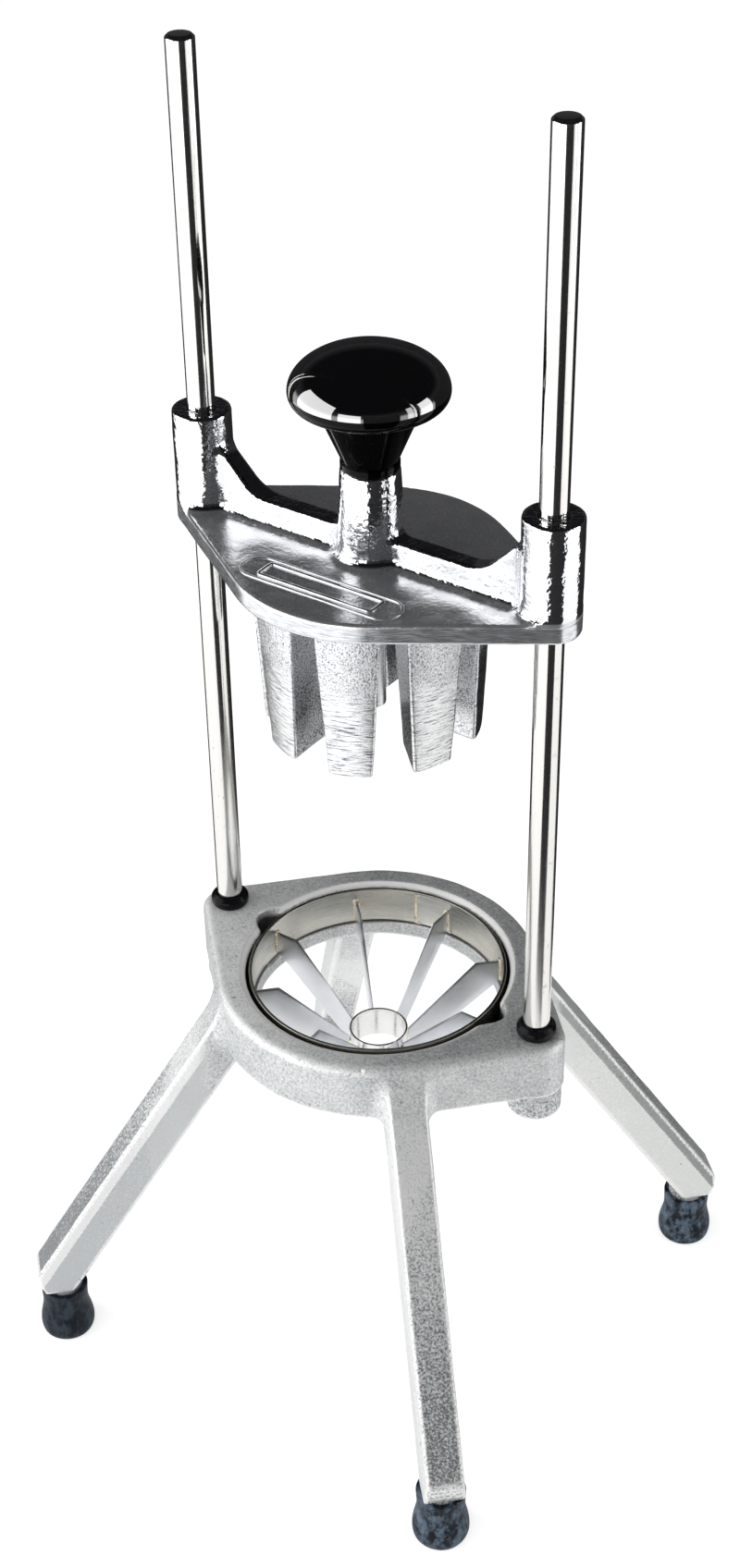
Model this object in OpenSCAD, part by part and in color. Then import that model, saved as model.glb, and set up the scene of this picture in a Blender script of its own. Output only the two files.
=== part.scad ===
// Tabletop apple corer and wedger: a push head slides down two guide rods and
// drives the fruit through a ring of radial blades with a core tube at its middle.
// Millimetres. +X runs from the left rod to the right rod, -Y is the front, +Z is up,
// and the origin is on the table, midway between the four feet.

/* [Guide rods] */
// Diameter of a guide rod
rod_d = 9.525; // [8:0.025:11]
// Distance between the rods' axes
rod_spacing = 137; // [132:1:146]
// Length of rod that stands above the base casting
rod_rise = 331.3; // [300:0.1:380]
// Chamfer on the ends of a rod
rod_chamfer = 1.0; // [0.4:0.1:2]
// Radial gap between a rod and the base it is pressed into
press_gap = 0.01; // [0.01:0.01:0.03]
// Radial gap between a rod and the bore of the push head
slide_gap = 0.08; // [0.04:0.01:0.1]

/* [Base casting] */
// Height of the casting's top face above the table
base_height = 162.3; // [150:0.1:190]
// Outer radius of the ring
ring_r = 59.5; // [57:0.5:63]
// Height of the ring
ring_h = 22.3; // [20:0.1:25]
// Radius of the lobe round each rod
lobe_r = 10.4; // [9.4:0.1:12]
// Radius of the boss under each lobe
rod_boss_r = 9.8; // [8:0.1:10.2]
// How far that boss reaches below the ring
rod_boss_drop = 11.5; // [6:0.5:16]
// Radius of the seat bored for the blade ring
seat_r = 48.9; // [48.2:0.1:50]
// Chamfer turned round the top of the seat
seat_chamfer = 1.6; // [0.8:0.1:2]
// Radius of the hole through the ledge under the blade ring
ledge_r = 45.5; // [44.8:0.1:46]
// Height of that ledge
ledge_h = 6.5; // [5:0.1:8]

/* [Legs] */
// Half the distance between the left and right feet
foot_x = 89.0; // [82:0.5:100]
// Half the distance between the front and rear feet
foot_y = 91.5; // [82:0.5:100]
// Width of a leg at its parting line
leg_w = 15.0; // [13:0.5:17]
// Depth of a leg, square to its slope
leg_depth = 17.0; // [15:0.5:21]
// Draft on each side of a leg, from its upper face down to the parting line
leg_draft = 0.9; // [0.4:0.1:2]
// Depth of the parting line below the upper face
leg_parting = 4.1; // [2:0.1:6]
// Chamfer along the lower edges of a leg
leg_chamfer = 1.8; // [0.8:0.1:3]
// How far the leg's upper face starts below the top of the ring
leg_root_drop = 8.0; // [6:0.5:11]
// How far the leg runs in under the ring
leg_root_in = 8.5; // [5:0.5:9]
// Height of the leg's outer end, where its upper face stops
leg_tip_z = 33.8; // [31:0.1:37]
// Reach of the leg's flat end beyond the axis of its foot
leg_tip_out = 9.5; // [9.3:0.1:10.5]
// Height of the slope that cuts the leg's end back towards its foot
leg_toe_h = 5.0; // [3:0.1:6]
// How far that slope goes back at its lower end
leg_toe_in = 2.0; // [1:0.1:2]
// Radius of the plug that the foot is pushed on to
plug_r = 7.2; // [6.8:0.1:7.2]
// Step from a leg's side in to the flat of its plug
plug_step = 0.4; // [0.2:0.1:1]
// Gap between the shoulder of a leg and the rim of its foot
leg_shoulder = 1.5; // [0.5:0.1:3]

/* [Feet] */
// Height of a rubber foot
foot_h = 22.5; // [20:0.5:26]
// Outer radius at the foot's rim
foot_rim_r = 9.2; // [9:0.1:10]
// Outer radius at the foot's waist
foot_waist_r = 8.9; // [8.7:0.1:9.5]
// Height of the waist
foot_waist_z = 15.5; // [12:0.5:17]
// Largest radius, at the foot's flare
foot_flare_r = 10.64; // [10:0.02:13]
// Height of the flare
foot_flare_z = 4.0; // [2:0.5:6]
// Radius of the flat that the foot stands on
foot_base_r = 9.4; // [8:0.1:9.8]
// Thickness of rubber under the plug
foot_floor = 8.0; // [5:0.5:10]
// Radial gap between the plug and the foot
foot_gap = 0.05; // [0.02:0.01:0.1]

/* [Bumpers] */
// Outer radius of the rubber ring at the bottom of each rod
bumper_r = 7.1; // [6.8:0.1:8.5]
// Height of that ring
bumper_h = 5.0; // [3:0.5:8]
// Rounding of its edges
bumper_round = 1.1; // [0.5:0.1:1.1]

/* [Blade ring] */
// Outer radius of the steel band
band_r = 47.6; // [47.2:0.1:48]
// Thickness of the band
band_t = 1.2; // [0.8:0.1:1.2]
// Height of the band
band_h = 15.0; // [12:0.5:16]
// Distance of each fixing screw from the middle of the ring
screw_reach = 50.6; // [50.2:0.1:51]
// Width of the pocket in the casting round each fixing screw
pocket_w = 9.0; // [8.4:0.1:10]
// Gap between a lug's sides and its pocket
lug_gap = 0.9; // [0.5:0.1:1.2]
// Thickness of a lug
lug_t = 1.5; // [1:0.1:2]
// Radius of a screw's shank
screw_r = 1.6; // [1.2:0.1:2]
// Radius of a screw's head
screw_head_r = 2.6; // [2.4:0.1:3.2]
// Radius of the flat on a screw's head
screw_top_r = 1.8; // [1.2:0.1:2.3]
// Height of a screw's head
screw_head_h = 1.8; // [1.2:0.1:2.5]
// Distance from a screw's tip up to the underside of the casting
screw_tip_gap = 0.5; // [0.2:0.1:1.5]
// Distance from a screw in to the middle of its pocket's round end
pocket_inset = 1.6; // [1:0.1:1.8]
// Width of the cross in a screw's head
screw_cross_w = 0.8; // [0.6:0.1:1]

/* [Blades] */
// Number of blades, and of fingers on the push head
blade_count = 8; // [6, 8, 10]
// Thickness of a blade
blade_t = 1.0; // [0.6:0.1:1.4]
// Depth of the blades' level top edge below the band's top
blade_drop = 4.7; // [3:0.1:6]
// Radius at which the cutting edge starts to slope down
blade_shoulder_r = 37.0; // [32:0.5:41]
// Depth of the cutting edge below the core tube's top, where they meet
blade_in_drop = 2.9; // [1.5:0.1:4]
// Level stretch of the blade's lower edge beside the core tube
blade_heel = 3.0; // [1:0.5:5]
// Gap between a blade and the ledge of the casting
blade_gap = 0.3; // [0.2:0.1:0.8]
// Gap left for a weld at each end of a blade
weld_gap = 0.02; // [0.01:0.01:0.1]
// Outer radius of the core tube
tube_r = 11.0; // [9.5:0.1:12]
// Wall of the core tube
tube_t = 0.8; // [0.6:0.1:1.2]
// Height of the core tube
tube_h = 12.5; // [10:0.5:16]
// Depth of the core tube's top below the band's top
tube_drop = 29.5; // [25:0.5:32]

/* [Push head] */
// Height of the push head's plate above the base casting, at rest
head_lift = 166.1; // [100:0.1:240]
// Radius of the plate
plate_r = 47.5; // [46.5:0.5:52]
// Thickness of the plate
plate_t = 7.1; // [5:0.1:9]
// Radius of the boss round each rod
head_boss_r = 10.05; // [8.5:0.05:11]
// Height of that boss, from the plate's underside
head_boss_h = 41.0; // [34:0.1:48]
// Margin of plate round each boss
boss_margin = 0.25; // [0.2:0.05:1]
// Thickness of the rib between the bosses
rib_w = 8.0; // [6:0.5:10]
// Height of the rib above the plate
rib_h = 8.5; // [6:0.5:11]
// Length of the rib's slope up to each boss
ramp_run = 13.5; // [10:0.5:18]
// Rise of that slope
ramp_rise = 14.0; // [8:0.5:20]
// Height of the middle boss, from the plate's underside
mid_boss_h = 38.6; // [34:0.1:46]
// Radius of the middle boss at its top
mid_boss_top_r = 9.9; // [9.4:0.1:12]
// Radius of the middle boss at the plate
mid_boss_foot_r = 11.7; // [11.5:0.1:14]
// Length of the blank raised panel on the plate
panel_l = 62.0; // [40:1:64]
// Width of that panel
panel_w = 12.0; // [8:0.5:13]
// Width of the panel's raised border
panel_border = 1.6; // [1:0.1:3]
// Height of the border
panel_h = 0.7; // [0.3:0.1:1]
// Distance of the panel in front of the rods
panel_y = 29.5; // [27:0.5:30]

/* [Fingers] */
// Length of the fingers below the plate
finger_l = 57.8; // [50:0.1:62]
// Outer radius of the fingers at the plate
finger_top_r = 40.0; // [38.5:0.1:44]
// Outer radius of the fingers at their tips
finger_tip_r = 37.1; // [34:0.1:38.5]
// Width of the slots between the fingers at the plate
slot_top_w = 8.0; // [7.5:0.1:10]
// Width of the slots at the tips
slot_tip_w = 13.6; // [12:0.1:15]

/* [Core pin] */
// Radius of the pin that pushes the core out
pin_r = 4.3; // [3.4:0.1:5]
// Length of the pin below the plate
pin_l = 51.4; // [40:0.1:57]
// Radius of the shank pressed into the plate
pin_shank_r = 3.0; // [2:0.1:3]
// Length of that shank
pin_shank_l = 10.0; // [6:0.5:14]
// Chamfer on the pin's end
pin_chamfer = 0.9; // [0.4:0.1:1.5]

/* [Knob] */
// Largest radius of the knob
knob_r = 26.0; // [22:0.5:32]
// Height of the knob's dome above its widest line
knob_dome = 13.8; // [10:0.1:20]
// Height of the knob's widest line above its seat
knob_rim_z = 26.5; // [25:0.5:32]
// Rounding under the knob's widest line
knob_lip = 4.6; // [3.5:0.1:5.5]
// Radius of the flange that the knob sits on
knob_flange_r = 9.8; // [9.6:0.1:10.4]
// Thickness of that flange
knob_flange_h = 2.3; // [1.2:0.1:3]
// Chamfer round the foot of the flange
knob_edge = 0.5; // [0.3:0.1:1]
// Radius of the knob's neck above the flange
knob_neck_r = 9.2; // [8.4:0.1:9.4]
// Radius where the neck runs into the cap
knob_throat_r = 16.9; // [16:0.1:20]
// Height of that place above the seat
knob_throat_z = 20.5; // [16:0.5:22]
// Radius of the threaded stud
stud_r = 3.97; // [3:0.01:4.5]
// Length of stud in the middle boss
stud_down = 18.0; // [12:0.5:20]
// Length of stud in the knob
stud_up = 13.0; // [8:0.5:14]
// Outer radius of the threaded insert in the knob
insert_r = 6.2; // [5.6:0.1:7]
// Length of the insert
insert_l = 15.0; // [14.5:0.5:18]
// Radial gap at the stud's threads and round pressed pieces
thread_gap = 0.02; // [0.01:0.01:0.05]

/* [Hidden] */
$fn = 96;
SIDES = [[-1, "left"], [1, "right"]];
FEET = [
    [-1, -1, "foot_front_left"],
    [1, -1, "foot_front_right"],
    [-1, 1, "foot_rear_left"],
    [1, 1, "foot_rear_right"]
];

// Overlap that keeps a cut or a joint inside one piece clean
cut = 1;
// Angle between the points of a computed arc
arc_step = 4;
// Points in a quarter of the knob's dome
dome_points = 16;
// Points in the rounding under the knob's widest line
lip_points = 4;
// Points in each computed curve of a foot's profile
foot_points = 6;
// How far a leg's plug runs up inside the leg
plug_overlap = 6;

rod_r = rod_d / 2;
rod_x = rod_spacing / 2;
blade_step = 360 / blade_count;

ring_z = base_height - ring_h;
ledge_z = ring_z + ledge_h;
rod_boss_z = ring_z - rod_boss_drop;
rod_l = rod_rise + ring_h + rod_boss_drop;

foot_reach = norm([foot_x, foot_y]);
leg_run = foot_reach + leg_tip_out - ring_r;
leg_fall = base_height - leg_root_drop - leg_tip_z;
leg_lean = atan2(leg_run, leg_fall);
leg_l = norm([leg_run, leg_fall]);
// Height at which the leg's sloping bar stops and only its plug goes on
leg_cut_z = foot_h + leg_shoulder;
plug_top_z = leg_cut_z + plug_overlap;
plug_w = leg_w - 2 * plug_step;

band_z = ledge_z;
band_top_z = band_z + band_h;
band_in_r = band_r - band_t;
lug_w = pocket_w - 2 * lug_gap;
pocket_end_r = screw_reach - pocket_inset;
screw_l = lug_t + ledge_h - screw_tip_gap;

blade_top_z = band_top_z - blade_drop;
blade_foot_z = band_z + blade_gap;
tube_top_z = band_top_z - tube_drop;
tube_z = tube_top_z - tube_h;

plate_z = base_height + head_lift;
plate_top_z = plate_z + plate_t;
mid_boss_top_z = plate_z + mid_boss_h;
knob_z = mid_boss_top_z;
slots = blade_count / 2;

cast_grey = [0.72, 0.73, 0.74];
head_grey = [0.80, 0.81, 0.83];
steel = [0.78, 0.78, 0.76];
bright_steel = [0.88, 0.88, 0.88];
rubber_black = [0.07, 0.07, 0.08];
foot_rubber = [0.16, 0.19, 0.24];
knob_black = [0.02, 0.02, 0.02];
brass = [0.80, 0.62, 0.30];

// Points of an arc about a centre on the X axis
function arc(x, r, from, to) = let (n = ceil(abs(to - from) / arc_step))
    [for (i = [0 : n]) let (a = from + (to - from) * i / n) [x + r * cos(a), r * sin(a)]];

// Outline of a disc with a smaller lobe each side, joined by common tangents
function eye_outline(disc, lobe, reach) = let (a = acos((disc - lobe) / reach)) concat(
    arc(0, disc, a, 180 - a),
    arc(-reach, lobe, 180 - a, 180 + a),
    arc(0, disc, 180 + a, 360 - a),
    arc(reach, lobe, -a, a)
);

// Turns what is made on the right to the left where it belongs there
module at_side(side) {
    rotate([0, 0, 90 - 90 * side]) children();
}

// Upright cylinder on a rod's axis
module at_rod(side, z, h, r) {
    translate([side * rod_x, 0, z]) cylinder(h = h, r = r);
}

// Bar with round ends, lying flat along X
module stadium(l, w, h) {
    translate([0, 0, h / 2]) cube([l - w, w, h], center = true);
    for (side = [-1, 1]) translate([side * (l - w) / 2, 0, 0]) cylinder(h = h, d = w);
}

// Section of a leg: its upper face is on x = 0
module leg_section() {
    c = leg_chamfer;
    w = leg_w / 2;
    f = w - leg_draft;
    polygon([
        [0, -f], [0, f], [leg_parting, w], [leg_depth - c, w],
        [leg_depth, w - c], [leg_depth, -w + c], [leg_depth - c, -w], [leg_parting, -w]
    ]);
}

// Space that a leg's bar fills, seen from its side: upright end, toe cut back to the foot
module leg_span() {
    near = ring_r - leg_root_in;
    far = foot_reach + leg_tip_out;
    top = base_height - leg_root_drop;
    translate([0, leg_w, 0]) rotate([90, 0, 0]) linear_extrude(2 * leg_w) polygon([
        [near, leg_cut_z], [far - leg_toe_in, leg_cut_z], [far, leg_cut_z + leg_toe_h], [far, top], [near, top]
    ]);
}

// One leg in the XZ plane, from under the ring out to the plug for its foot
module leg() {
    intersection() {
        translate([ring_r, 0, base_height - leg_root_drop])
            rotate([0, 180 - leg_lean, 0])
            translate([0, 0, -leg_l])
            linear_extrude(3 * leg_l) leg_section();
        leg_span();
    }
    intersection() {
        translate([foot_reach, 0, foot_floor]) cylinder(h = plug_top_z - foot_floor, r = plug_r);
        translate([foot_reach - leg_w, -plug_w / 2, 0]) cube([2 * leg_w, plug_w, plug_top_z]);
    }
}

// Pocket for a fixing screw, open to the seat of the blade ring
module screw_pocket(side) {
    at_side(side) {
        translate([pocket_end_r, 0, ledge_z]) cylinder(h = ring_h, d = pocket_w);
        translate([ledge_r, -pocket_w / 2, ledge_z]) cube([pocket_end_r - ledge_r, pocket_w, ring_h]);
    }
}

module base_casting() {
    color(cast_grey) difference() {
        union() {
            translate([0, 0, ring_z]) linear_extrude(ring_h) polygon(eye_outline(ring_r, lobe_r, rod_x));
            for (s = SIDES) at_rod(s[0], rod_boss_z, rod_boss_drop + cut, rod_boss_r);
            for (f = FEET) rotate([0, 0, atan2(f[1] * foot_y, f[0] * foot_x)]) leg();
        }
        translate([0, 0, ledge_z]) cylinder(h = ring_h, r = seat_r);
        translate([0, 0, base_height - seat_chamfer - cut])
            cylinder(h = seat_chamfer + 2 * cut, r1 = seat_r - cut, r2 = seat_r + seat_chamfer + cut);
        translate([0, 0, ring_z - cut]) cylinder(h = ring_h, r = ledge_r);
        for (s = SIDES) {
            screw_pocket(s[0]);
            at_rod(s[0], rod_boss_z - cut, rod_l, rod_r + press_gap);
            translate([s[0] * screw_reach, 0, ring_z - cut]) cylinder(h = ring_h, r = screw_r + thread_gap);
        }
    }
}

module guide_rod(side) {
    color(bright_steel) translate([side * rod_x, 0, rod_boss_z]) rotate_extrude() polygon([
        [0, 0], [rod_r - rod_chamfer, 0], [rod_r, rod_chamfer], [rod_r, rod_l - rod_chamfer],
        [rod_r - rod_chamfer, rod_l], [0, rod_l]
    ]);
}

module bumper(side) {
    inner = rod_r + press_gap;
    b = bumper_round;
    color(rubber_black) translate([side * rod_x, 0, base_height]) rotate_extrude() polygon([
        [inner, 0], [bumper_r - b, 0], [bumper_r, b], [bumper_r, bumper_h - b],
        [bumper_r - b, bumper_h], [inner, bumper_h]
    ]);
}

// Flared rubber cup, pushed on to the plug of a leg
module foot(x, y) {
    bore = plug_r + foot_gap;
    sole = [for (i = [0 : foot_points]) let (a = 90 * i / foot_points)
        [foot_base_r + (foot_flare_r - foot_base_r) * sin(a), foot_flare_z * (1 - cos(a))]];
    side = [for (i = [1 : foot_points]) let (t = i / foot_points)
        [foot_waist_r + (foot_flare_r - foot_waist_r) * (1 + cos(180 * t)) / 2,
            foot_flare_z + (foot_waist_z - foot_flare_z) * t]];
    color(foot_rubber) translate([x, y, 0]) rotate_extrude() polygon(concat(
        [[0, 0]], sole, side,
        [[foot_rim_r, foot_h], [bore, foot_h], [bore, foot_floor], [0, foot_floor]]
    ));
}

module blade_ring() {
    color(steel) difference() {
        union() {
            translate([0, 0, band_z]) cylinder(h = band_h, r = band_r);
            for (s = SIDES) at_side(s[0]) {
                translate([pocket_end_r, 0, band_z]) cylinder(h = lug_t, d = lug_w);
                translate([band_in_r, -lug_w / 2, band_z]) cube([pocket_end_r - band_in_r, lug_w, lug_t]);
            }
        }
        translate([0, 0, band_z - cut]) cylinder(h = band_h + 2 * cut, r = band_in_r);
        for (s = SIDES) translate([s[0] * screw_reach, 0, band_z - cut])
            cylinder(h = lug_t + 2 * cut, r = screw_r + thread_gap);
    }
}

module ring_screws() {
    head_z = band_z + lug_t;
    color(bright_steel) for (s = SIDES) translate([s[0] * screw_reach, 0, head_z]) difference() {
        union() {
            cylinder(h = screw_head_h, r1 = screw_head_r, r2 = screw_top_r);
            translate([0, 0, -screw_l]) cylinder(h = screw_l + screw_head_h / 2, r = screw_r);
        }
        for (turn = [0, 90]) rotate([0, 0, turn]) translate([0, 0, screw_head_h])
            cube([2 * screw_head_r, screw_cross_w, screw_head_h], center = true);
    }
}

module blade(number) {
    outer = band_in_r - weld_gap;
    inner = tube_r + weld_gap;
    color(steel) rotate([0, 0, (number - 1) * blade_step]) rotate([90, 0, 0])
        linear_extrude(blade_t, center = true) polygon([
            [outer, blade_top_z], [blade_shoulder_r, blade_top_z], [inner, tube_top_z - blade_in_drop],
            [inner, tube_z], [inner + blade_heel, tube_z], [ledge_r - blade_gap, blade_foot_z],
            [outer, blade_foot_z]
        ]);
}

module core_tube() {
    color(steel) translate([0, 0, tube_z]) difference() {
        cylinder(h = tube_h, r = tube_r);
        translate([0, 0, -cut]) cylinder(h = tube_h + 2 * cut, r = tube_r - tube_t);
    }
}

// Rib along X that ties the middle boss to the two rod bosses
module rib() {
    low = plate_top_z + rib_h;
    high = low + ramp_rise;
    near = rod_x - head_boss_r;
    rotate([90, 0, 0]) linear_extrude(rib_w, center = true) polygon([
        [-rod_x, plate_z + cut], [rod_x, plate_z + cut], [rod_x, high], [near, high], [near - ramp_run, low],
        [ramp_run - near, low], [-near, high], [-rod_x, high]
    ]);
}

// Wedges left by drafted slots across one cone, one wedge over each gap between blades
module fingers() {
    difference() {
        translate([0, 0, plate_z - finger_l])
            cylinder(h = finger_l + cut, r1 = finger_tip_r, r2 = finger_top_r);
        for (i = [0 : slots - 1]) rotate([0, 0, i * blade_step]) translate([-plate_r, 0, plate_z])
            rotate([90, 0, 90]) linear_extrude(2 * plate_r) polygon([
                [-slot_top_w / 2, 0], [slot_top_w / 2, 0],
                [slot_tip_w / 2, -finger_l], [slot_tip_w / 2, -finger_l - cut],
                [-slot_tip_w / 2, -finger_l - cut], [-slot_tip_w / 2, -finger_l]
            ]);
    }
}

// Raised border round a blank panel on the plate
module panel() {
    translate([0, -panel_y, plate_top_z - cut]) difference() {
        stadium(panel_l, panel_w, panel_h + cut);
        stadium(panel_l - 2 * panel_border, panel_w - 2 * panel_border, panel_h + 2 * cut);
    }
}

module head_casting() {
    color(head_grey) difference() {
        union() {
            translate([0, 0, plate_z]) linear_extrude(plate_t)
                polygon(eye_outline(plate_r, head_boss_r + boss_margin, rod_x));
            for (s = SIDES) at_rod(s[0], plate_z + cut, head_boss_h - cut, head_boss_r);
            translate([0, 0, plate_z + cut])
                cylinder(h = mid_boss_h - cut, r1 = mid_boss_foot_r, r2 = mid_boss_top_r);
            rib();
            fingers();
            panel();
        }
        for (s = SIDES) at_rod(s[0], plate_z - cut, head_boss_h + 2 * cut, rod_r + slide_gap);
        translate([0, 0, mid_boss_top_z - stud_down]) cylinder(h = stud_down + cut, r = stud_r + thread_gap);
        translate([0, 0, plate_z - cut]) cylinder(h = pin_shank_l + cut, r = pin_shank_r + thread_gap);
    }
}

// Turned pin that follows the fruit down and clears its core from the tube
module core_pin() {
    color(head_grey) translate([0, 0, plate_z]) rotate_extrude() polygon([
        [0, pin_shank_l], [pin_shank_r, pin_shank_l], [pin_shank_r, 0], [pin_r, 0],
        [pin_r, pin_chamfer - pin_l], [pin_r - pin_chamfer, -pin_l], [0, -pin_l]
    ]);
}

module knob() {
    foot = [[0, 0], [knob_flange_r - knob_edge, 0], [knob_flange_r, knob_edge]];
    neck = [[knob_flange_r, knob_flange_h], [knob_neck_r, knob_flange_h], [knob_throat_r, knob_throat_z]];
    lip = [for (i = [lip_points : -1 : 1]) let (a = 90 * i / lip_points)
        [knob_r - knob_lip * (1 - cos(a)), knob_rim_z - knob_lip * sin(a)]];
    dome = [for (i = [0 : dome_points]) let (a = 90 * i / dome_points)
        [knob_r * cos(a), knob_rim_z + knob_dome * sin(a)]];
    color(knob_black) translate([0, 0, knob_z]) difference() {
        rotate_extrude() polygon(concat(foot, neck, lip, dome));
        translate([0, 0, -cut]) cylinder(h = insert_l + cut, r = insert_r);
    }
}

module knob_insert() {
    color(brass) translate([0, 0, knob_z]) difference() {
        cylinder(h = insert_l, r = insert_r - thread_gap);
        translate([0, 0, -cut]) cylinder(h = insert_l + 2 * cut, r = stud_r + thread_gap);
    }
}

module knob_stud() {
    color(bright_steel) translate([0, 0, knob_z - stud_down]) cylinder(h = stud_down + stud_up, r = stud_r);
}

base_casting();
for (s = SIDES) {
    guide_rod(s[0]);
    bumper(s[0]);
}
for (f = FEET) foot(f[0] * foot_x, f[1] * foot_y);
blade_ring();
core_tube();
ring_screws();
for (i = [1 : blade_count]) blade(i);
head_casting();
core_pin();
knob();
knob_insert();
knob_stud();
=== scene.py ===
"""Looks of the apple corer and wedger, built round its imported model.

Castings are written as distance fields in millimetres, with their real fillets, and skinned with a net of
quads. Turned pieces are lathed from rounded profiles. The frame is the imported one: +X from the left rod to
the right rod, -Y to the front, +Z up, the origin on the table midway between the feet.
"""
import logging
import math
from collections.abc import Callable, Sequence
from dataclasses import dataclass
from enum import Enum
from typing import ClassVar

import bmesh
import bpy
import numpy as np
from mathutils import Matrix, Vector


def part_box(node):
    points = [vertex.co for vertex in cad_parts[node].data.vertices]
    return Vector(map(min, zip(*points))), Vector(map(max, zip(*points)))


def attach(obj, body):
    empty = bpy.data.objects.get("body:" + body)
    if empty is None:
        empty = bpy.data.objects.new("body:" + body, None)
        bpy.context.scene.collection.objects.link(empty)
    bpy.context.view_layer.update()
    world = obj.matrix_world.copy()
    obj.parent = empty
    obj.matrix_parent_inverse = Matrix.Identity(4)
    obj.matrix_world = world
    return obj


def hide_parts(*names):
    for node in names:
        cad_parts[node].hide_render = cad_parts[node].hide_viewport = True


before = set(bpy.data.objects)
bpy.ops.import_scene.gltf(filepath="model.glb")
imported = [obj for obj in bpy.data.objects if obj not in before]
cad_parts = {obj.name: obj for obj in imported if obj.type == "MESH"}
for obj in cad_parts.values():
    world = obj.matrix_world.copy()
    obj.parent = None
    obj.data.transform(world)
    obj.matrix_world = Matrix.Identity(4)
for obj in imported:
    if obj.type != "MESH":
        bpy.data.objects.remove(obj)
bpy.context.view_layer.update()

LOG = logging.getLogger("apple_corer")
MM = 0.001
COS_45 = 0.7071
# Places that several pieces share, in millimetres
ROD_X = 68.5
ROD_R = 4.7625
FOOT_X = 89.0
FOOT_Y = 91.5
BASE_TOP = 162.3
HEAD_LOW = 328.4
Shape = Callable[[np.ndarray], np.ndarray]
Line = list[tuple[float, float]]


class Body(str, Enum):
    """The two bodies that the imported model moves."""

    BASE = "base"
    HEAD = "push_head"


class Side(Enum):
    """Left or right rod, as the sign of X and the word in its node's name."""

    LEFT = (-1, "left")
    RIGHT = (1, "right")


class Corner(Enum):
    """The four feet, as the signs of X and Y and the words in their nodes' names."""

    FRONT_LEFT = (-1, -1, "front_left")
    FRONT_RIGHT = (1, -1, "front_right")
    REAR_LEFT = (-1, 1, "rear_left")
    REAR_RIGHT = (1, 1, "rear_right")


# Distance fields


def joined(a: np.ndarray, b: np.ndarray, radius: float) -> np.ndarray:
    """Union of two fields with a concave fillet between them.

    Args:
        a: Distances to the first solid, negative inside.
        b: Distances to the second solid.
        radius: Radius of the fillet.

    Returns:
        Distances to the joined solid.
    """
    u = np.maximum(radius - a, 0)
    v = np.maximum(radius - b, 0)
    return np.maximum(radius, np.minimum(a, b)) - np.hypot(u, v)


def trimmed(a: np.ndarray, b: np.ndarray, radius: float) -> np.ndarray:
    """Intersection of two fields with a rounded edge between them.

    Args:
        a: Distances to the first solid, negative inside.
        b: Distances to the second solid.
        radius: Radius of the rounded edge.

    Returns:
        Distances to what both solids share.
    """
    u = np.maximum(radius + a, 0)
    v = np.maximum(radius + b, 0)
    return np.minimum(-radius, np.maximum(a, b)) + np.hypot(u, v)


def eye_outline(x: np.ndarray, y: np.ndarray, disc: float, lobe: float, reach: float) -> np.ndarray:
    """Plan distance to a disc with a lobe each side, joined by common tangents.

    Args:
        x: Places along the line of the lobes.
        y: Places across it.
        disc: Radius of the disc.
        lobe: Radius of a lobe.
        reach: Distance from the disc's middle to a lobe's.

    Returns:
        Distances in plan, negative inside.
    """
    x, y = np.abs(x), np.abs(y)
    lean = (disc - lobe) / reach
    rise = math.sqrt(1 - lean * lean)
    along = rise * x - lean * y
    tangent = lean * x + rise * y - disc
    at_disc = np.hypot(x, y) - disc
    at_lobe = np.hypot(x - reach, y) - lobe
    return np.where(along < 0, at_disc, np.where(along > rise * reach, at_lobe, tangent))


def unevenness(p: np.ndarray, height: float) -> np.ndarray:
    """Slow waves of a cast skin.

    Args:
        p: Points in millimetres.
        height: Height of the waves.

    Returns:
        How far the skin stands proud at each point.
    """
    x, y, z = p.T
    return height * (
        np.sin(x / 5.3 + 1.1) * np.sin(y / 6.1 + 0.4) * np.sin(z / 4.7)
        + 0.6 * np.sin(x / 2.9 + z / 3.7) * np.sin(y / 3.3 - z / 5.9 + 2.0)
    )


# Meshes


@dataclass
class MeshData:
    """Points and faces of one piece in millimetres, with normals and edge wear where they are known."""

    points: np.ndarray
    faces: list
    normals: np.ndarray | None = None
    edge: np.ndarray | None = None

    def __add__(self, other: "MeshData") -> "MeshData":
        """Both sets of faces in one mesh.

        Args:
            other: The mesh to add.

        Returns:
            The two as one mesh.
        """
        start = len(self.points)
        moved = [[i + start for i in face] for face in other.faces]
        return MeshData(np.vstack([self.points, other.points]), list(self.faces) + moved)

    def turned(self, degrees: float) -> "MeshData":
        """The same mesh turned about the Z axis.

        Args:
            degrees: Angle against the clock, seen from above.

        Returns:
            The turned mesh.
        """
        c, s = math.cos(math.radians(degrees)), math.sin(math.radians(degrees))
        spin = np.array([[c, s, 0], [-s, c, 0], [0, 0, 1]])
        return MeshData(self.points @ spin, self.faces)

    def moved(self, x: float, y: float, z: float) -> "MeshData":
        """The same mesh in another place."""
        return MeshData(self.points + np.array([x, y, z]), self.faces)


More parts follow.
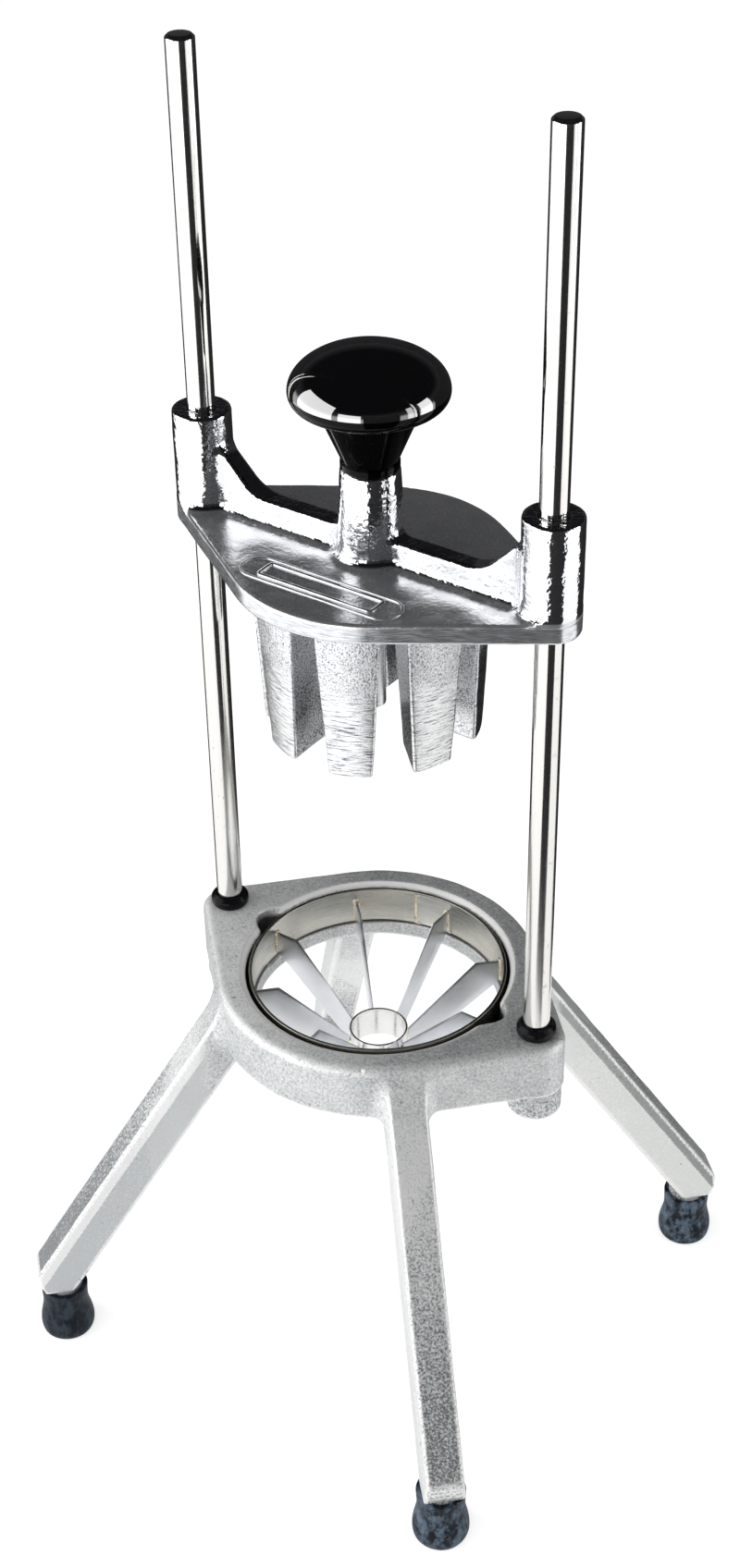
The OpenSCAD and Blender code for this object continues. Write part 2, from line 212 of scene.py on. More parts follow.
@dataclass(frozen=True)
class SkinMaker:
    """Covers a distance field with a net of quads that is relaxed and drawn on to the surface."""

    step: float
    block: int = 6
    rounds: int = 4
    probe: float = 0.04
    wear_reach: float = 0.9

    def skin(self, shape: Shape, low: Sequence[float], high: Sequence[float]) -> MeshData:
        """Meshes a field.

        Args:
            shape: The distance field.
            low: Lowest corner of the box that holds the surface.
            high: Highest corner of that box.

        Returns:
            The mesh, with normals and edge wear taken from the field.
        """
        start = np.array(low, float) - 2 * self.step
        values = self._grid(shape, start, np.array(high, float) + 2 * self.step)
        points, quads = self._net(values < 0, start)
        for turn in range(self.rounds):
            if turn:
                points = 0.5 * points + 0.5 * self._neighbours(points, quads)
            for _ in range(2):
                points = self._drawn(shape, points)
        normals, wear = self._normals(shape, points), self._wear(shape, points)
        return MeshData(points, quads.tolist(), normals, wear)

    def _grid(self, shape: Shape, start: np.ndarray, stop: np.ndarray) -> np.ndarray:
        """Field values on a grid, exact only in the blocks that the surface can cross.

        Args:
            shape: The distance field.
            start: Lowest corner of the grid.
            stop: Corner that the grid reaches past.

        Returns:
            One value for each grid point.
        """
        b = self.block
        blocks = np.ceil((stop - start) / (self.step * b)).astype(int)
        middles = np.stack(np.meshgrid(*[np.arange(n) for n in blocks], indexing="ij"), -1).reshape(-1, 3)
        offset = self.step * (b - 1) / 2
        coarse = shape(start + middles * (self.step * b) + offset)
        values = coarse.reshape(blocks).astype(np.float32)
        for axis in range(3):
            values = np.repeat(values, b, axis)
        near = middles[np.abs(coarse) < self.step * b * 1.15]
        cell = np.stack(np.meshgrid(*[np.arange(b)] * 3, indexing="ij"), -1).reshape(-1, 3)
        for part in np.array_split(near, max(1, len(near) // 2000)):
            index = (part[:, None, :] * b + cell[None]).reshape(-1, 3)
            values[tuple(index.T)] = shape(start + index * self.step)
        return values

    def _net(self, inside: np.ndarray, start: np.ndarray) -> tuple[np.ndarray, np.ndarray]:
        """One point in each mixed cell, and one quad across each grid edge that crosses the surface.

        Args:
            inside: Which grid points lie inside.
            start: Place of the first grid point.

        Returns:
            Points and quads.
        """
        count = np.zeros([n - 1 for n in inside.shape], np.int8)
        for i in (0, 1):
            for j in (0, 1):
                for k in (0, 1):
                    a, b, c = (n - 1 for n in inside.shape)
                    count += inside[i:i + a, j:j + b, k:k + c]
        mixed = (count > 0) & (count < 8)
        number = np.full(mixed.shape, -1, np.int64)
        cells = np.argwhere(mixed)
        number[mixed] = np.arange(len(cells))
        quads = []
        for axis in range(3):
            low = np.take(inside, range(inside.shape[axis] - 1), axis)
            high = np.take(inside, range(1, inside.shape[axis]), axis)
            at = np.argwhere(low != high)
            u, v = np.eye(3, dtype=int)[(axis + 1) % 3], np.eye(3, dtype=int)[(axis + 2) % 3]
            ring = np.stack([number[tuple((at - s).T)] for s in (u + v, v, 0 * u, u)], -1)
            back = high[tuple(at.T)]
            ring[back] = ring[back][:, ::-1]
            quads.append(ring)
        return start + (cells + 0.5) * self.step, np.vstack(quads)

    def _neighbours(self, points: np.ndarray, quads: np.ndarray) -> np.ndarray:
        """Mean place of the points next to each point.

        Args:
            points: Points of the net.
            quads: Its quads.

        Returns:
            One mean place for each point.
        """
        pairs = np.vstack([quads[:, [i, (i + 1) % 4]] for i in range(4)])
        first, second = pairs.T
        count = np.bincount(first, minlength=len(points)) + np.bincount(second, minlength=len(points))
        total = np.zeros_like(points)
        for axis in range(3):
            total[:, axis] = np.bincount(first, points[second, axis], len(points))
            total[:, axis] += np.bincount(second, points[first, axis], len(points))
        return total / np.maximum(count, 1)[:, None]

    def _slope(self, shape: Shape, points: np.ndarray) -> np.ndarray:
        """The field's gradient at each point."""
        sides = np.eye(3) * self.probe
        return np.stack([shape(points + s) - shape(points - s) for s in sides], -1) / (2 * self.probe)

    def _drawn(self, shape: Shape, points: np.ndarray) -> np.ndarray:
        """Points moved one step on to the surface, never further than a cell.

        Args:
            shape: The distance field.
            points: Points of the net.

        Returns:
            The moved points.
        """
        slope = self._slope(shape, points)
        reach = np.clip(shape(points), -self.step, self.step)
        return points - slope * (reach / np.maximum((slope ** 2).sum(1), 0.25))[:, None]

    def _normals(self, shape: Shape, points: np.ndarray) -> np.ndarray:
        """Unit normals from the field."""
        slope = self._slope(shape, points)
        return slope / np.maximum(np.linalg.norm(slope, axis=1), 1e-6)[:, None]

    def _wear(self, shape: Shape, points: np.ndarray) -> np.ndarray:
        """How sharply the surface bends: above 0 on outer edges, below 0 in hollows.

        Args:
            shape: The distance field.
            points: Points of the net.

        Returns:
            One value for each point, from -1 to 1.
        """
        sides = np.eye(3) * self.wear_reach
        bend = sum(shape(points + s) + shape(points - s) for s in sides) - 6 * shape(points)
        return np.clip(bend / self.wear_reach, -1, 1)


def rounded(corners: Sequence[tuple[float, float, float]], steps: int = 6) -> Line:
    """A line with its corners rounded.

    Args:
        corners: Radius from the axis, height and rounding of each corner.
        steps: Points in each rounding.

    Returns:
        Points of the line, in order.
    """
    line: Line = []
    last = len(corners) - 1
    for i, (r, z, rounding) in enumerate(corners):
        here = np.array([r, z])
        if rounding <= 0 or i in (0, last):
            line.append((r, z))
            continue
        before = np.array(corners[i - 1][:2]) - here
        after = np.array(corners[i + 1][:2]) - here
        before, after = before / np.linalg.norm(before), after / np.linalg.norm(after)
        half = math.acos(max(-1, min(1, before @ after))) / 2
        along = rounding / math.tan(half)
        a, b = here + before * along, here + after * along
        middle = here + (before + after) / np.linalg.norm(before + after) * (rounding / math.sin(half))
        for k in range(steps + 1):
            t = k / steps
            spoke = (a - middle) * (1 - t) + (b - middle) * t
            line.append(tuple(middle + spoke / np.linalg.norm(spoke) * rounding))
    return line


def lathe(line: Sequence[tuple[float, float]], segments: int = 128, closed: bool = False) -> MeshData:
    """A line turned about the Z axis.

    Args:
        line: Radius and height of each point, going up the outside.
        segments: Faces round the axis.
        closed: Whether the line's end joins its start.

    Returns:
        The turned mesh, with its poles closed by fans.
    """
    turns = np.arange(segments) * (2 * math.pi / segments)
    points, rows = [], []
    for r, z in line:
        start = len(points)
        if r < 1e-6:
            points.append((0.0, 0.0, z))
            rows.append([start] * segments)
        else:
            points += [(r * math.cos(t), r * math.sin(t), z) for t in turns]
            rows.append(list(range(start, start + segments)))
    pairs = list(zip(rows, rows[1:])) + ([(rows[-1], rows[0])] if closed else [])
    faces = []
    for low, high in pairs:
        for i in range(segments):
            j = (i + 1) % segments
            ring = [low[i], low[j], high[j], high[i]]
            face = [n for k, n in enumerate(ring) if n not in ring[:k]]
            if len(face) > 2:
                faces.append(face)
    return MeshData(np.array(points), faces)


def quads_between(rows: int, around: int) -> list[list[int]]:
    """Quads between closed rows of points.

    Args:
        rows: Number of rows, one after another.
        around: Points in each row.

    Returns:
        The quads, row by row.
    """
    return [
        [k * around + j, k * around + (j + 1) % around,
         (k + 1) * around + (j + 1) % around, (k + 1) * around + j]
        for k in range(rows - 1) for j in range(around)
    ]


def swept(path: np.ndarray, across: np.ndarray, rise: np.ndarray, section: Line) -> MeshData:
    """A closed section carried round a closed path.

    Args:
        path: Points of the path.
        across: Unit vector to the outside at each point.
        rise: Unit vector upwards.
        section: Offsets outward and upward, in order round the section.

    Returns:
        The closed band.
    """
    n, m = len(path), len(section)
    points = [p + a * o + rise * h for p, a in zip(path, across) for o, h in section]
    faces = [
        [i * m + j, (i + 1) % n * m + j, (i + 1) % n * m + (j + 1) % m, i * m + (j + 1) % m]
        for i in range(n) for j in range(m)
    ]
    return MeshData(np.array(points), faces)


def rippled(path: Sequence[tuple[float, float, float]], size: float, around: int = 10) -> MeshData:
    """A weld bead: a ripply round rod along a path, thinner at its ends.

    Args:
        path: Points along the bead.
        size: Radius of the bead.
        around: Faces round it.

    Returns:
        The closed bead.
    """
    line = np.array(path, float)
    along = np.gradient(line, axis=0)
    along /= np.linalg.norm(along, axis=1)[:, None]
    run = np.concatenate([[0], np.cumsum(np.linalg.norm(np.diff(line, axis=0), axis=1))])
    n, points = len(line), []
    turns = np.linspace(0, 2 * math.pi, around + 1)[:-1]
    for k in range(n):
        out = np.array([line[k, 0], line[k, 1], 0]) / np.hypot(line[k, 0], line[k, 1])
        side = np.cross(along[k], out)
        side /= np.linalg.norm(side)
        lift = np.cross(side, along[k])
        ends = math.sqrt(max(0.05, 1 - (2 * run[k] / run[-1] - 1) ** 10))
        swell = size * (0.85 + 0.15 * math.sin(5.2 * run[k])) * ends
        points += [line[k] + swell * (side * math.cos(a) + lift * math.sin(a)) for a in turns]
    ends = [list(range(around))[::-1], list(range((n - 1) * around, n * around))]
    return MeshData(np.array(points), quads_between(n, around) + ends)


def rounded_path(length: float, width: float, corner: float,
                 steps: int = 12) -> tuple[np.ndarray, np.ndarray]:
    """Points and outward vectors round an oblong with rounded corners.

    Args:
        length: Length along X.
        width: Width along Y.
        corner: Radius of the corners.
        steps: Points in each corner.

    Returns:
        Points on the outline and the outward unit vectors there.
    """
    points, out = [], []
    for quarter, (sx, sy) in enumerate(((1, 1), (-1, 1), (-1, -1), (1, -1))):
        middle = np.array([sx * (length / 2 - corner), sy * (width / 2 - corner), 0])
        for k in range(steps + 1):
            a = math.radians(90 * (quarter + k / steps))
            v = np.array([math.cos(a), math.sin(a), 0])
            out.append(v)
            points.append(middle + v * corner)
    return np.array(points), np.array(out)


def face_outward(mesh: bpy.types.Mesh) -> None:
    """Turns every face of a closed mesh to the outside.

    Args:
        mesh: The mesh.
    """
    work = bmesh.new()
    work.from_mesh(mesh)
    bmesh.ops.recalc_face_normals(work, faces=work.faces)
    work.to_mesh(mesh)
    work.free()


def make_piece(name: str, data: MeshData, finish: "Finish", body: Body,
               nodes: Sequence[str] = ()) -> bpy.types.Object:
    """Makes a Blender object that rides on a body.

    Args:
        name: Name of the piece.
        data: Its mesh in millimetres.
        finish: Its finish.
        body: The body that it moves with.
        nodes: CAD nodes that it stands for.

    Returns:
        The object.
    """
    mesh = bpy.data.meshes.new(name)
    mesh.from_pydata((data.points * MM).tolist(), [], data.faces)
    mesh.validate()
    if data.normals is None:
        face_outward(mesh)
    mesh.shade_smooth()
    if data.normals is not None:
        mesh.normals_split_custom_set_from_vertices(data.normals.tolist())
    else:
        mesh.set_sharp_from_angle(angle=math.radians(32))
    wear = data.edge if data.edge is not None else np.zeros(len(data.points))
    mesh.attributes.new("wear", "FLOAT", "POINT").data.foreach_set("value", wear.astype(np.float32))
    piece = bpy.data.objects.new(name, mesh)
    bpy.context.scene.collection.objects.link(piece)
    mesh.materials.append(finish.material())
    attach(piece, body.value)
    if nodes:
        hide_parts(*nodes)
    LOG.info("%s: %d faces on %s", name, len(data.faces), body.value)
    return piece


# Finishes


Colour = tuple[float, float, float]


class Value:
    """A number, colour or vector in a node tree, with plain arithmetic."""

    def __init__(self, sketch: "NodeSketch", socket: bpy.types.NodeSocket) -> None:
        """Holds a node's output."""
        self.sketch, self.socket = sketch, socket

    def __add__(self, other: "Value | float") -> "Value":
        """The sum."""
        return self.sketch.math("ADD", self, other)

    def __sub__(self, other: "Value | float") -> "Value":
        """The difference."""
        return self.sketch.math("SUBTRACT", self, other)

    def __rsub__(self, other: float) -> "Value":
        """What is left of a plain number."""
        return self.sketch.math("SUBTRACT", other, self)

    def __mul__(self, other: "Value | float") -> "Value":
        """The product."""
        return self.sketch.math("MULTIPLY", self, other)

    def __or__(self, other: "Value | float") -> "Value":
        """The larger of the two."""
        return self.sketch.math("MAXIMUM", self, other)

    def span(self, low: float, high: float, to_low: float = 0.0, to_high: float = 1.0) -> "Value":
        """This value's range moved to another range, with a soft start and end."""
        names = {"Value": self, "From Min": low, "From Max": high, "To Min": to_low, "To Max": to_high}
        return self.sketch.read("ShaderNodeMapRange", 0, names, interpolation_type="SMOOTHSTEP")


class NodeSketch:
    """Short calls that add and link shader nodes."""

    def __init__(self, tree: bpy.types.NodeTree) -> None:
        """Starts on an emptied tree."""
        self.tree = tree
        tree.nodes.clear()

    def add(self, kind: str, values: dict | None = None, **settings: object) -> bpy.types.Node:
        """Adds a node.

        Args:
            kind: Type name of the node.
            values: Plain or linked values for its inputs, by name or number.
            settings: Properties of the node.

        Returns:
            The node.
        """
        node = self.tree.nodes.new(kind)
        for key, value in settings.items():
            setattr(node, key, value)
        for key, value in (values or {}).items():
            if isinstance(value, Value):
                self.tree.links.new(value.socket, node.inputs[key])
            else:
                node.inputs[key].default_value = value
        return node

    def read(self, kind: str, output: str | int = 0, values: dict | None = None, **settings: object) -> Value:
        """Adds a node and takes one of its outputs."""
        return Value(self, self.add(kind, values, **settings).outputs[output])

    def math(self, operation: str, a: Value | float, b: Value | float = 0.0, **settings: object) -> Value:
        """One step of arithmetic."""
        return self.read("ShaderNodeMath", 0, {0: a, 1: b}, operation=operation, **settings)

    def vector_math(self, operation: str, a: Value, b: Colour = (0, 0, 0), output: str = "Vector") -> Value:
        """One step of vector arithmetic."""
        return self.read("ShaderNodeVectorMath", output, {0: a, 1: b}, operation=operation)

    def own(self) -> Value:
        """The piece's own coordinates in metres."""
        return self.read("ShaderNodeTexCoord", "Object")

    def place(self, stretch: Colour = (1, 1, 1)) -> Value:
        """The piece's own coordinates, stretched along its axes."""
        return self.read("ShaderNodeMapping", 0, {"Vector": self.own(), "Scale": stretch})

    def noise(self, scale: float, detail: float = 2, rough: float = 0.5, place: Value | None = None) -> Value:
        """Noise with that many waves in a metre, from 0 to 1."""
        values = {"Scale": scale, "Detail": detail, "Roughness": rough, "Vector": place or self.place()}
        return self.read("ShaderNodeTexNoise", "Fac", values)

    def streaks(self, waves: Colour, detail: float, rough: float) -> Value:
        """Noise with different numbers of waves in a metre along the three axes."""
        return self.noise(1, detail, rough, self.place(waves))

    def ramp(self, value: Value, stops: Sequence[tuple[float, Colour]]) -> Value:
        """A colour for each value.

        Args:
            value: The value.
            stops: Values and their colours, in order.

        Returns:
            The colour.
        """
        node = self.add("ShaderNodeValToRGB", {"Fac": value})
        band = node.color_ramp.elements
        while len(band) < len(stops):
            band.new(1.0)
        for element, (at, colour) in zip(band, stops):
            element.position = at
            element.color = (*colour, 1)
        return Value(self, node.outputs["Color"])

    def mix(self, share: Value, a: Value | Colour, b: Value | Colour) -> Value:
        """Two colours mixed by a share."""
        full = [(*c, 1) if isinstance(c, tuple) else c for c in (a, b)]
        return self.read("ShaderNodeMix", 2, {0: share, 6: full[0], 7: full[1]}, data_type="RGBA")

    def blend(self, share: Value, a: Value | float, b: Value | float) -> Value:
        """Two numbers mixed by a share."""
        return self.read("ShaderNodeMix", 0, {0: share, 2: a, 3: b})

    def bump(self, height: Value, depth: float, strength: float) -> Value:
        """A bumpy normal, its depth in millimetres."""
        values = {"Height": height, "Distance": depth * MM, "Strength": strength}
        return self.read("ShaderNodeBump", 0, values)

    def along(self, way: Colour, folded: bool = False) -> Value:
        """Distance along a direction; folded, all four quarters count as the one on the right at the rear."""
        own = self.vector_math("ABSOLUTE", self.own()) if folded else self.own()
        return self.vector_math("DOT_PRODUCT", own, way, "Value")

    def radius(self) -> Value:
        """Distance from the object's upright axis."""
        return self.vector_math("LENGTH", self.vector_math("MULTIPLY", self.own(), (1, 1, 0)), output="Value")

    def across(self) -> Value:
        """Distance to the right of the middle."""
        return self.read("ShaderNodeSeparateXYZ", "X", {0: self.own()})

    def height(self) -> Value:
        """Height above the table."""
        return self.read("ShaderNodeSeparateXYZ", "Z", {0: self.own()})

    def upward(self) -> Value:
        """How far the surface faces upward, from -1 to 1."""
        return self.read("ShaderNodeSeparateXYZ", "Z", {0: self.read("ShaderNodeNewGeometry", "Normal")})

    def wear(self) -> Value:
        """The mesh's own edge wear."""
        return self.read("ShaderNodeAttribute", "Fac", attribute_name="wear")

    def rays(self) -> tuple[Value, Value]:
        """1 for what the camera sees, and 1 for what mirrors and clear pieces show.

        Returns:
            Both values.
        """
        path = self.add("ShaderNodeLightPath")
        names = ("Is Camera Ray", "Is Glossy Ray", "Is Transmission Ray")
        seen, glossy, clear = (Value(self, path.outputs[name]) for name in names)
        return seen, glossy | clear

    def surface(self, values: dict) -> None:
        """Ends the sketch with one surface shader."""
        self.add("ShaderNodeOutputMaterial", {"Surface": self.read("ShaderNodeBsdfPrincipled", 0, values)})


@dataclass(frozen=True)
class Finish:
    """A named finish. Each kind draws its own nodes."""

    made: ClassVar[dict[str, bpy.types.Material]] = {}
    name: str

    def draw(self, sketch: NodeSketch) -> None:
        """Draws the nodes of this finish."""
        raise NotImplementedError

    def material(self) -> bpy.types.Material:
        """The material of this finish, made once.

        Returns:
            The material.
        """
        if self.name not in self.made:
            fresh = bpy.data.materials.new(self.name)
            fresh.use_nodes = True
            self.draw(NodeSketch(fresh.node_tree))
            self.made[self.name] = fresh
        return self.made[self.name]


@dataclass(frozen=True)
class SandCast(Finish):
    """Fine-grained cast aluminium, matte, with rubbed edges, sand pits and a bright lip round the seat."""

    # Tones, from the deepest grain to the rubbed edges
    deep: Colour = (0.24, 0.25, 0.26)
    low: Colour = (0.50, 0.52, 0.53)
    high: Colour = (0.90, 0.91, 0.91)
    rubbed: Colour = (0.97, 0.97, 0.96)
    # Painted light and shade on the legs' sides: below the parting line darker to the left and front and
    # paler to the right and rear, the strip above it the other way round
    painted_side_shading: tuple[Colour, Colour] = ((0.62, 0.64, 0.65), (0.93, 0.94, 0.92))
    painted_bevel_shading: tuple[Colour, Colour] = ((0.96, 0.96, 0.96), (0.36, 0.37, 0.37))
    # Sand pits, then near black down the seat wall and in the screw pockets: painted shade together with dirt
    pit: Colour = (0.2, 0.2, 0.2)
    dirt: Colour = (0.06, 0.06, 0.06)
    # Seat of the blade ring, in millimetres
    lip_r: float = 50.7
    lip_z: float = 160.2
    seat_z: float = 146.5
    pocket_r: float = 55.0
    # Legs: direction in plan, normal of the back and its distance from the origin
    leg_way: tuple[float, float] = (0.6972, 0.7168)
    leg_normal: tuple[float, float] = (0.8406, 0.5416)
    leg_level: float = 133.58
    leg_from: float = 64.0
    leg_to: float = 132.0
    face_half: float = 6.6
    parting: float = 4.1
    # Rod bosses
    boss_from: float = 57.0
    boss_below: float = 139.6
    # Waves in a metre
    grain_waves: float = 1150
    fine_waves: float = 3100
    cloud_waves: float = 55
    pit_waves: float = 330

    def legs(self, sketch: NodeSketch) -> tuple[Value, Value, Value]:
        """Where a point lies on its leg.

        Args:
            sketch: The finish's nodes.

        Returns:
            Its distance out along the leg, then 1 or 0 for the leg's sides and for the strip above the
            parting line.
        """
        (x, y), (level, rise) = self.leg_way, self.leg_normal
        out = sketch.along((x, y, 0), folded=True)
        across = sketch.math("ABSOLUTE", sketch.along((-y, x, 0), folded=True))
        depth = sketch.along((level * x, level * y, rise), folded=True) - self.leg_level * MM
        leg = out.span(self.leg_from * MM, (self.leg_from + 6) * MM)
        leg = leg * across.span((self.face_half + 3) * MM, (self.face_half + 2) * MM)
        side = leg * across.span((self.face_half - 0.2) * MM, (self.face_half + 0.1) * MM)
        return out, side, side * depth.span((-self.parting - 0.15) * MM, (0.15 - self.parting) * MM)

    def bosses(self, sketch: NodeSketch) -> Value:
        """1 on the rough bosses under the lobes."""
        beyond = sketch.along((1, 0, 0), folded=True).span(self.boss_from * MM, (self.boss_from + 1) * MM)
        return beyond * sketch.height().span((self.boss_below + 0.3) * MM, (self.boss_below - 0.3) * MM)

    def sunk(self, sketch: NodeSketch) -> Value:
        """1 down the wall of the seat and in the screw pockets, for painted shade together with dirt that
        stays there.

        Args:
            sketch: The finish's nodes.

        Returns:
            The share of painted shade and dirt.
        """
        inside = sketch.radius().span((self.pocket_r + 1) * MM, self.pocket_r * MM)
        below = sketch.height().span(self.lip_z * MM, (self.lip_z - 2) * MM)
        return inside * (below * sketch.height().span((self.seat_z - 0.5) * MM, self.seat_z * MM))

    def lip(self, sketch: NodeSketch) -> Value:
        """1 on the turned lip of the seat, 0 elsewhere."""
        inside = sketch.radius().span((self.lip_r + 0.25) * MM, (self.lip_r - 0.25) * MM)
        return inside * sketch.height().span((self.lip_z - 0.3) * MM, self.lip_z * MM)

    def shade(self, sketch: NodeSketch, out: Value, lean: Value, on_ring: Value) -> Value:
        """Painted light and shade: a paler or darker tone by its place on the ring or along a leg, the ring's
        top faces apart from its sides.

        Args:
            sketch: The finish's nodes.
            out: Distance out along the leg.
            lean: How far to the right and to the rear.
            on_ring: 1 on the ring, 0 on the legs.

        Returns:
            What is added to the tone.
        """
        legs = out.span(self.leg_from * MM, self.leg_to * MM, 0.27, -0.10)
        legs = legs + lean.span(-0.14, -0.04, -0.20, 0.0) + lean.span(0.05, 0.14, 0.0, -0.16)
        top = sketch.upward().span(0.5, 0.8)
        ring = sketch.blend(top, lean.span(-0.09, 0.02, -0.06, 0.0), lean.span(-0.09, 0.02, 0.12, 0.0))
        return sketch.blend(on_ring, legs, ring)

    def draw(self, sketch: NodeSketch) -> None:
        """Grain, cloudy tone, pits, bright edges and the turned lip, with painted light and shade by place
        and on the legs' sides, and painted shade with dirt in the seat.

        Args:
            sketch: The nodes to add to.
        """
        grain, fine = sketch.noise(self.grain_waves, 3, 0.65), sketch.noise(self.fine_waves, 2, 0.6)
        cloud = sketch.noise(self.cloud_waves, 3, 0.6)
        pits = sketch.noise(self.pit_waves, 2, 0.5).span(0.70, 0.78)
        lip, boss = self.lip(sketch), self.bosses(sketch)
        out, side, strip = self.legs(sketch)
        lean = sketch.along((1, 1, 0))
        on_ring = 1.0 - out.span((self.leg_from - 6) * MM, (self.leg_from + 16) * MM)
        lit = sketch.upward().span(0.5, 0.8) * lean.span(-0.08, 0.02, 1.0, 0.0) * on_ring
        speckle = out.span(self.leg_from * MM, self.leg_to * MM, 0.95, 2.0) | boss * 1.9
        tone = (grain - 0.5) * speckle + 0.475 + cloud * 0.30
        # Painted light and shade by place on the ring and legs; the bosses a little darker
        tone = tone + self.shade(sketch, out, lean, on_ring) - boss * 0.08
        tone = sketch.ramp(
            tone, [(0.36, self.deep), (0.46, self.low), (0.76, self.high), (0.92, self.rubbed)])
        # Painted light and shade on the legs' sides, by how far they lie to the right and rear
        painted_side_shading = sketch.mix(lean.span(-0.14, 0.12), *self.painted_side_shading)
        painted_bevel_shading = sketch.mix(lean.span(-0.05, 0.08), *self.painted_bevel_shading)
        tone = sketch.mix(side * 0.8, tone, sketch.mix(strip, painted_side_shading, painted_bevel_shading))
        wear = sketch.wear().span(0.05, 0.5) * grain.span(0.2, 0.6)
        tone = sketch.mix(wear | lip, tone, self.rubbed)
        tone = sketch.mix(pits * 0.6, tone, self.pit)
        # Painted shade together with dirt down the seat wall and in the screw pockets
        tone = sketch.mix(self.sunk(sketch) * 0.8, tone, self.dirt)
        rough = grain.span(0.2, 0.8, 0.42, 0.58) - wear * 0.12
        height = (grain * 0.7 + fine * 0.3 - pits * 0.8) * (lip | side).span(0, 1, 1.0, 0.3)
        sketch.surface({"Base Color": tone, "Metallic": sketch.blend(lip | lit * 0.8, 0.67, 0.22),
                        "Roughness": rough, "Normal": sketch.bump(height, 0.40, 0.8)})


@dataclass(frozen=True)
class TumbledCast(Finish):
    """Bright tumbled casting: sparkling skin, satin plate with a brushed edge, rough and turned fingers."""

    # Heights of the plate and of the turning lines, and the fingers' cone
    plate_low: float = HEAD_LOW
    plate_high: float = 335.5
    turned_from: float = 315.0
    turned_below: float = 305.0
    tip_z: float = 270.6
    tip_r: float = 37.1
    taper: float = 0.0502
    # Tones, from dark to bright
    hollows: tuple[Colour, Colour, Colour] = ((0.66, 0.67, 0.69), (0.90, 0.91, 0.93), (0.97, 0.97, 0.98))
    flecks: tuple[Colour, Colour, Colour] = ((0.15, 0.17, 0.20), (0.64, 0.66, 0.69), (0.98, 0.98, 0.98))
    brushed: tuple[Colour, Colour] = ((0.50, 0.53, 0.57), (0.95, 0.96, 0.98))
    satin: Colour = (0.42, 0.43, 0.45)
    # Waves in a metre
    grain_waves: float = 620
    fleck_waves: float = 1750
    slow_waves: float = 140
    border_waves: float = 90
    dash_waves: Colour = (210, 210, 3300)

    def outer(self, sketch: NodeSketch) -> Value:
        """1 on the fingers' outer faces, 0 in the slots."""
        start = self.tip_r - self.tip_z * self.taper
        return (sketch.radius() - sketch.height() * self.taper).span((start - 1.0) * MM, (start - 0.4) * MM)

    def draw(self, sketch: NodeSketch) -> None:
        """Tumbled grain above, satin plate, brushed plate edge, rough grain and turning lines on the fingers.

        Args:
            sketch: The nodes to add to.
        """
        z, outer = sketch.height(), self.outer(sketch)
        grain, fleck = sketch.noise(self.grain_waves, 1, 0.5), sketch.noise(self.fleck_waves, 2, 0.6)
        slow, dashes = sketch.noise(self.slow_waves, 3, 0.5), sketch.streaks(self.dash_waves, 3, 0.6)
        fingers = z.span((self.plate_low - 0.3) * MM, (self.plate_low - 1.3) * MM)
        above = 1.0 - fingers
        satin = z.span((self.plate_high + 1.2) * MM, (self.plate_high + 0.3) * MM) * above
        edge = z.span((self.plate_high - 0.4) * MM, (self.plate_high - 1.2) * MM) * above
        border = z + sketch.noise(self.border_waves, 2, 0.5) * 0.012
        lines = border.span(self.turned_from * MM, self.turned_below * MM) * outer * fingers | edge
        amount = sketch.blend(fingers, sketch.blend(satin, 0.30, 0.12), sketch.blend(outer, 0.22, 0.46))
        height = sketch.blend(fingers, grain, fleck) * amount + slow * 0.35
        height = sketch.blend(lines, height, dashes * sketch.blend(edge, 0.26, 0.05))
        rough = sketch.blend(satin, grain.span(0.3, 0.7, 0.03, 0.09), slow.span(0.3, 0.7, 0.22, 0.30))
        rough = sketch.blend(fingers, rough, fleck.span(0.3, 0.7, 0.20, 0.36))
        rough = sketch.blend(lines, rough, dashes.span(0.3, 0.7, 0.11, 0.21))
        tone = sketch.ramp(sketch.wear().span(-0.5, 0.35), list(zip((0.0, 0.6, 1.0), self.hollows)))
        speck = sketch.blend(lines, fleck.span(0.30, 0.62), dashes.span(0.36, 0.54))
        brushed = sketch.ramp(dashes.span(0.3, 0.65), list(zip((0.0, 1.0), self.brushed)))
        cast = sketch.ramp(speck, list(zip((0.0, 0.4, 1.0), self.flecks)))
        tone = sketch.mix(satin * 0.30, tone, self.satin)
        tone = sketch.mix(fingers, sketch.mix(edge, tone, brushed), cast)
        sketch.surface({"Base Color": tone, "Metallic": satin.span(0, 1, 1.0, 0.85), "Roughness": rough,
                        "Normal": sketch.bump(height, 0.7, 0.8)})


@dataclass(frozen=True)
class Polished(Finish):
    """Ground and polished bar with faint drawn lines, specks and a warm cast."""

    tint: Colour = (0.88, 0.87, 0.84)
    dirt: Colour = (0.30, 0.27, 0.22)
    rough: float = 0.06
    worn_from: float = 310.0
    worn_below: float = 210.0
    line_waves: Colour = (1500, 1500, 25)
    stain_waves: float = 210
    speck_waves: Colour = (900, 900, 330)

    def draw(self, sketch: NodeSketch) -> None:
        """Lines along the bar, small stains, and more of both where the head slides.

        Args:
            sketch: The nodes to add to.
        """
        worn = sketch.height().span(self.worn_from * MM, self.worn_below * MM)
        lines = sketch.streaks(self.line_waves, 2, 0.6)
        stain = sketch.noise(self.stain_waves, 4, 0.7).span(0.62, 0.74)
        speck = sketch.streaks(self.speck_waves, 3, 0.6).span(0.66, 0.72) * worn
        tone = sketch.mix(stain * 0.35 | speck * 0.8, self.tint, self.dirt)
        rough = stain * 0.18 + lines.span(0.3, 0.7, self.rough, self.rough + 0.07) + worn * 0.09
        sketch.surface({"Base Color": tone, "Metallic": 1.0, "Roughness": rough,
                        "Normal": sketch.bump(lines, 0.01, 0.4)})


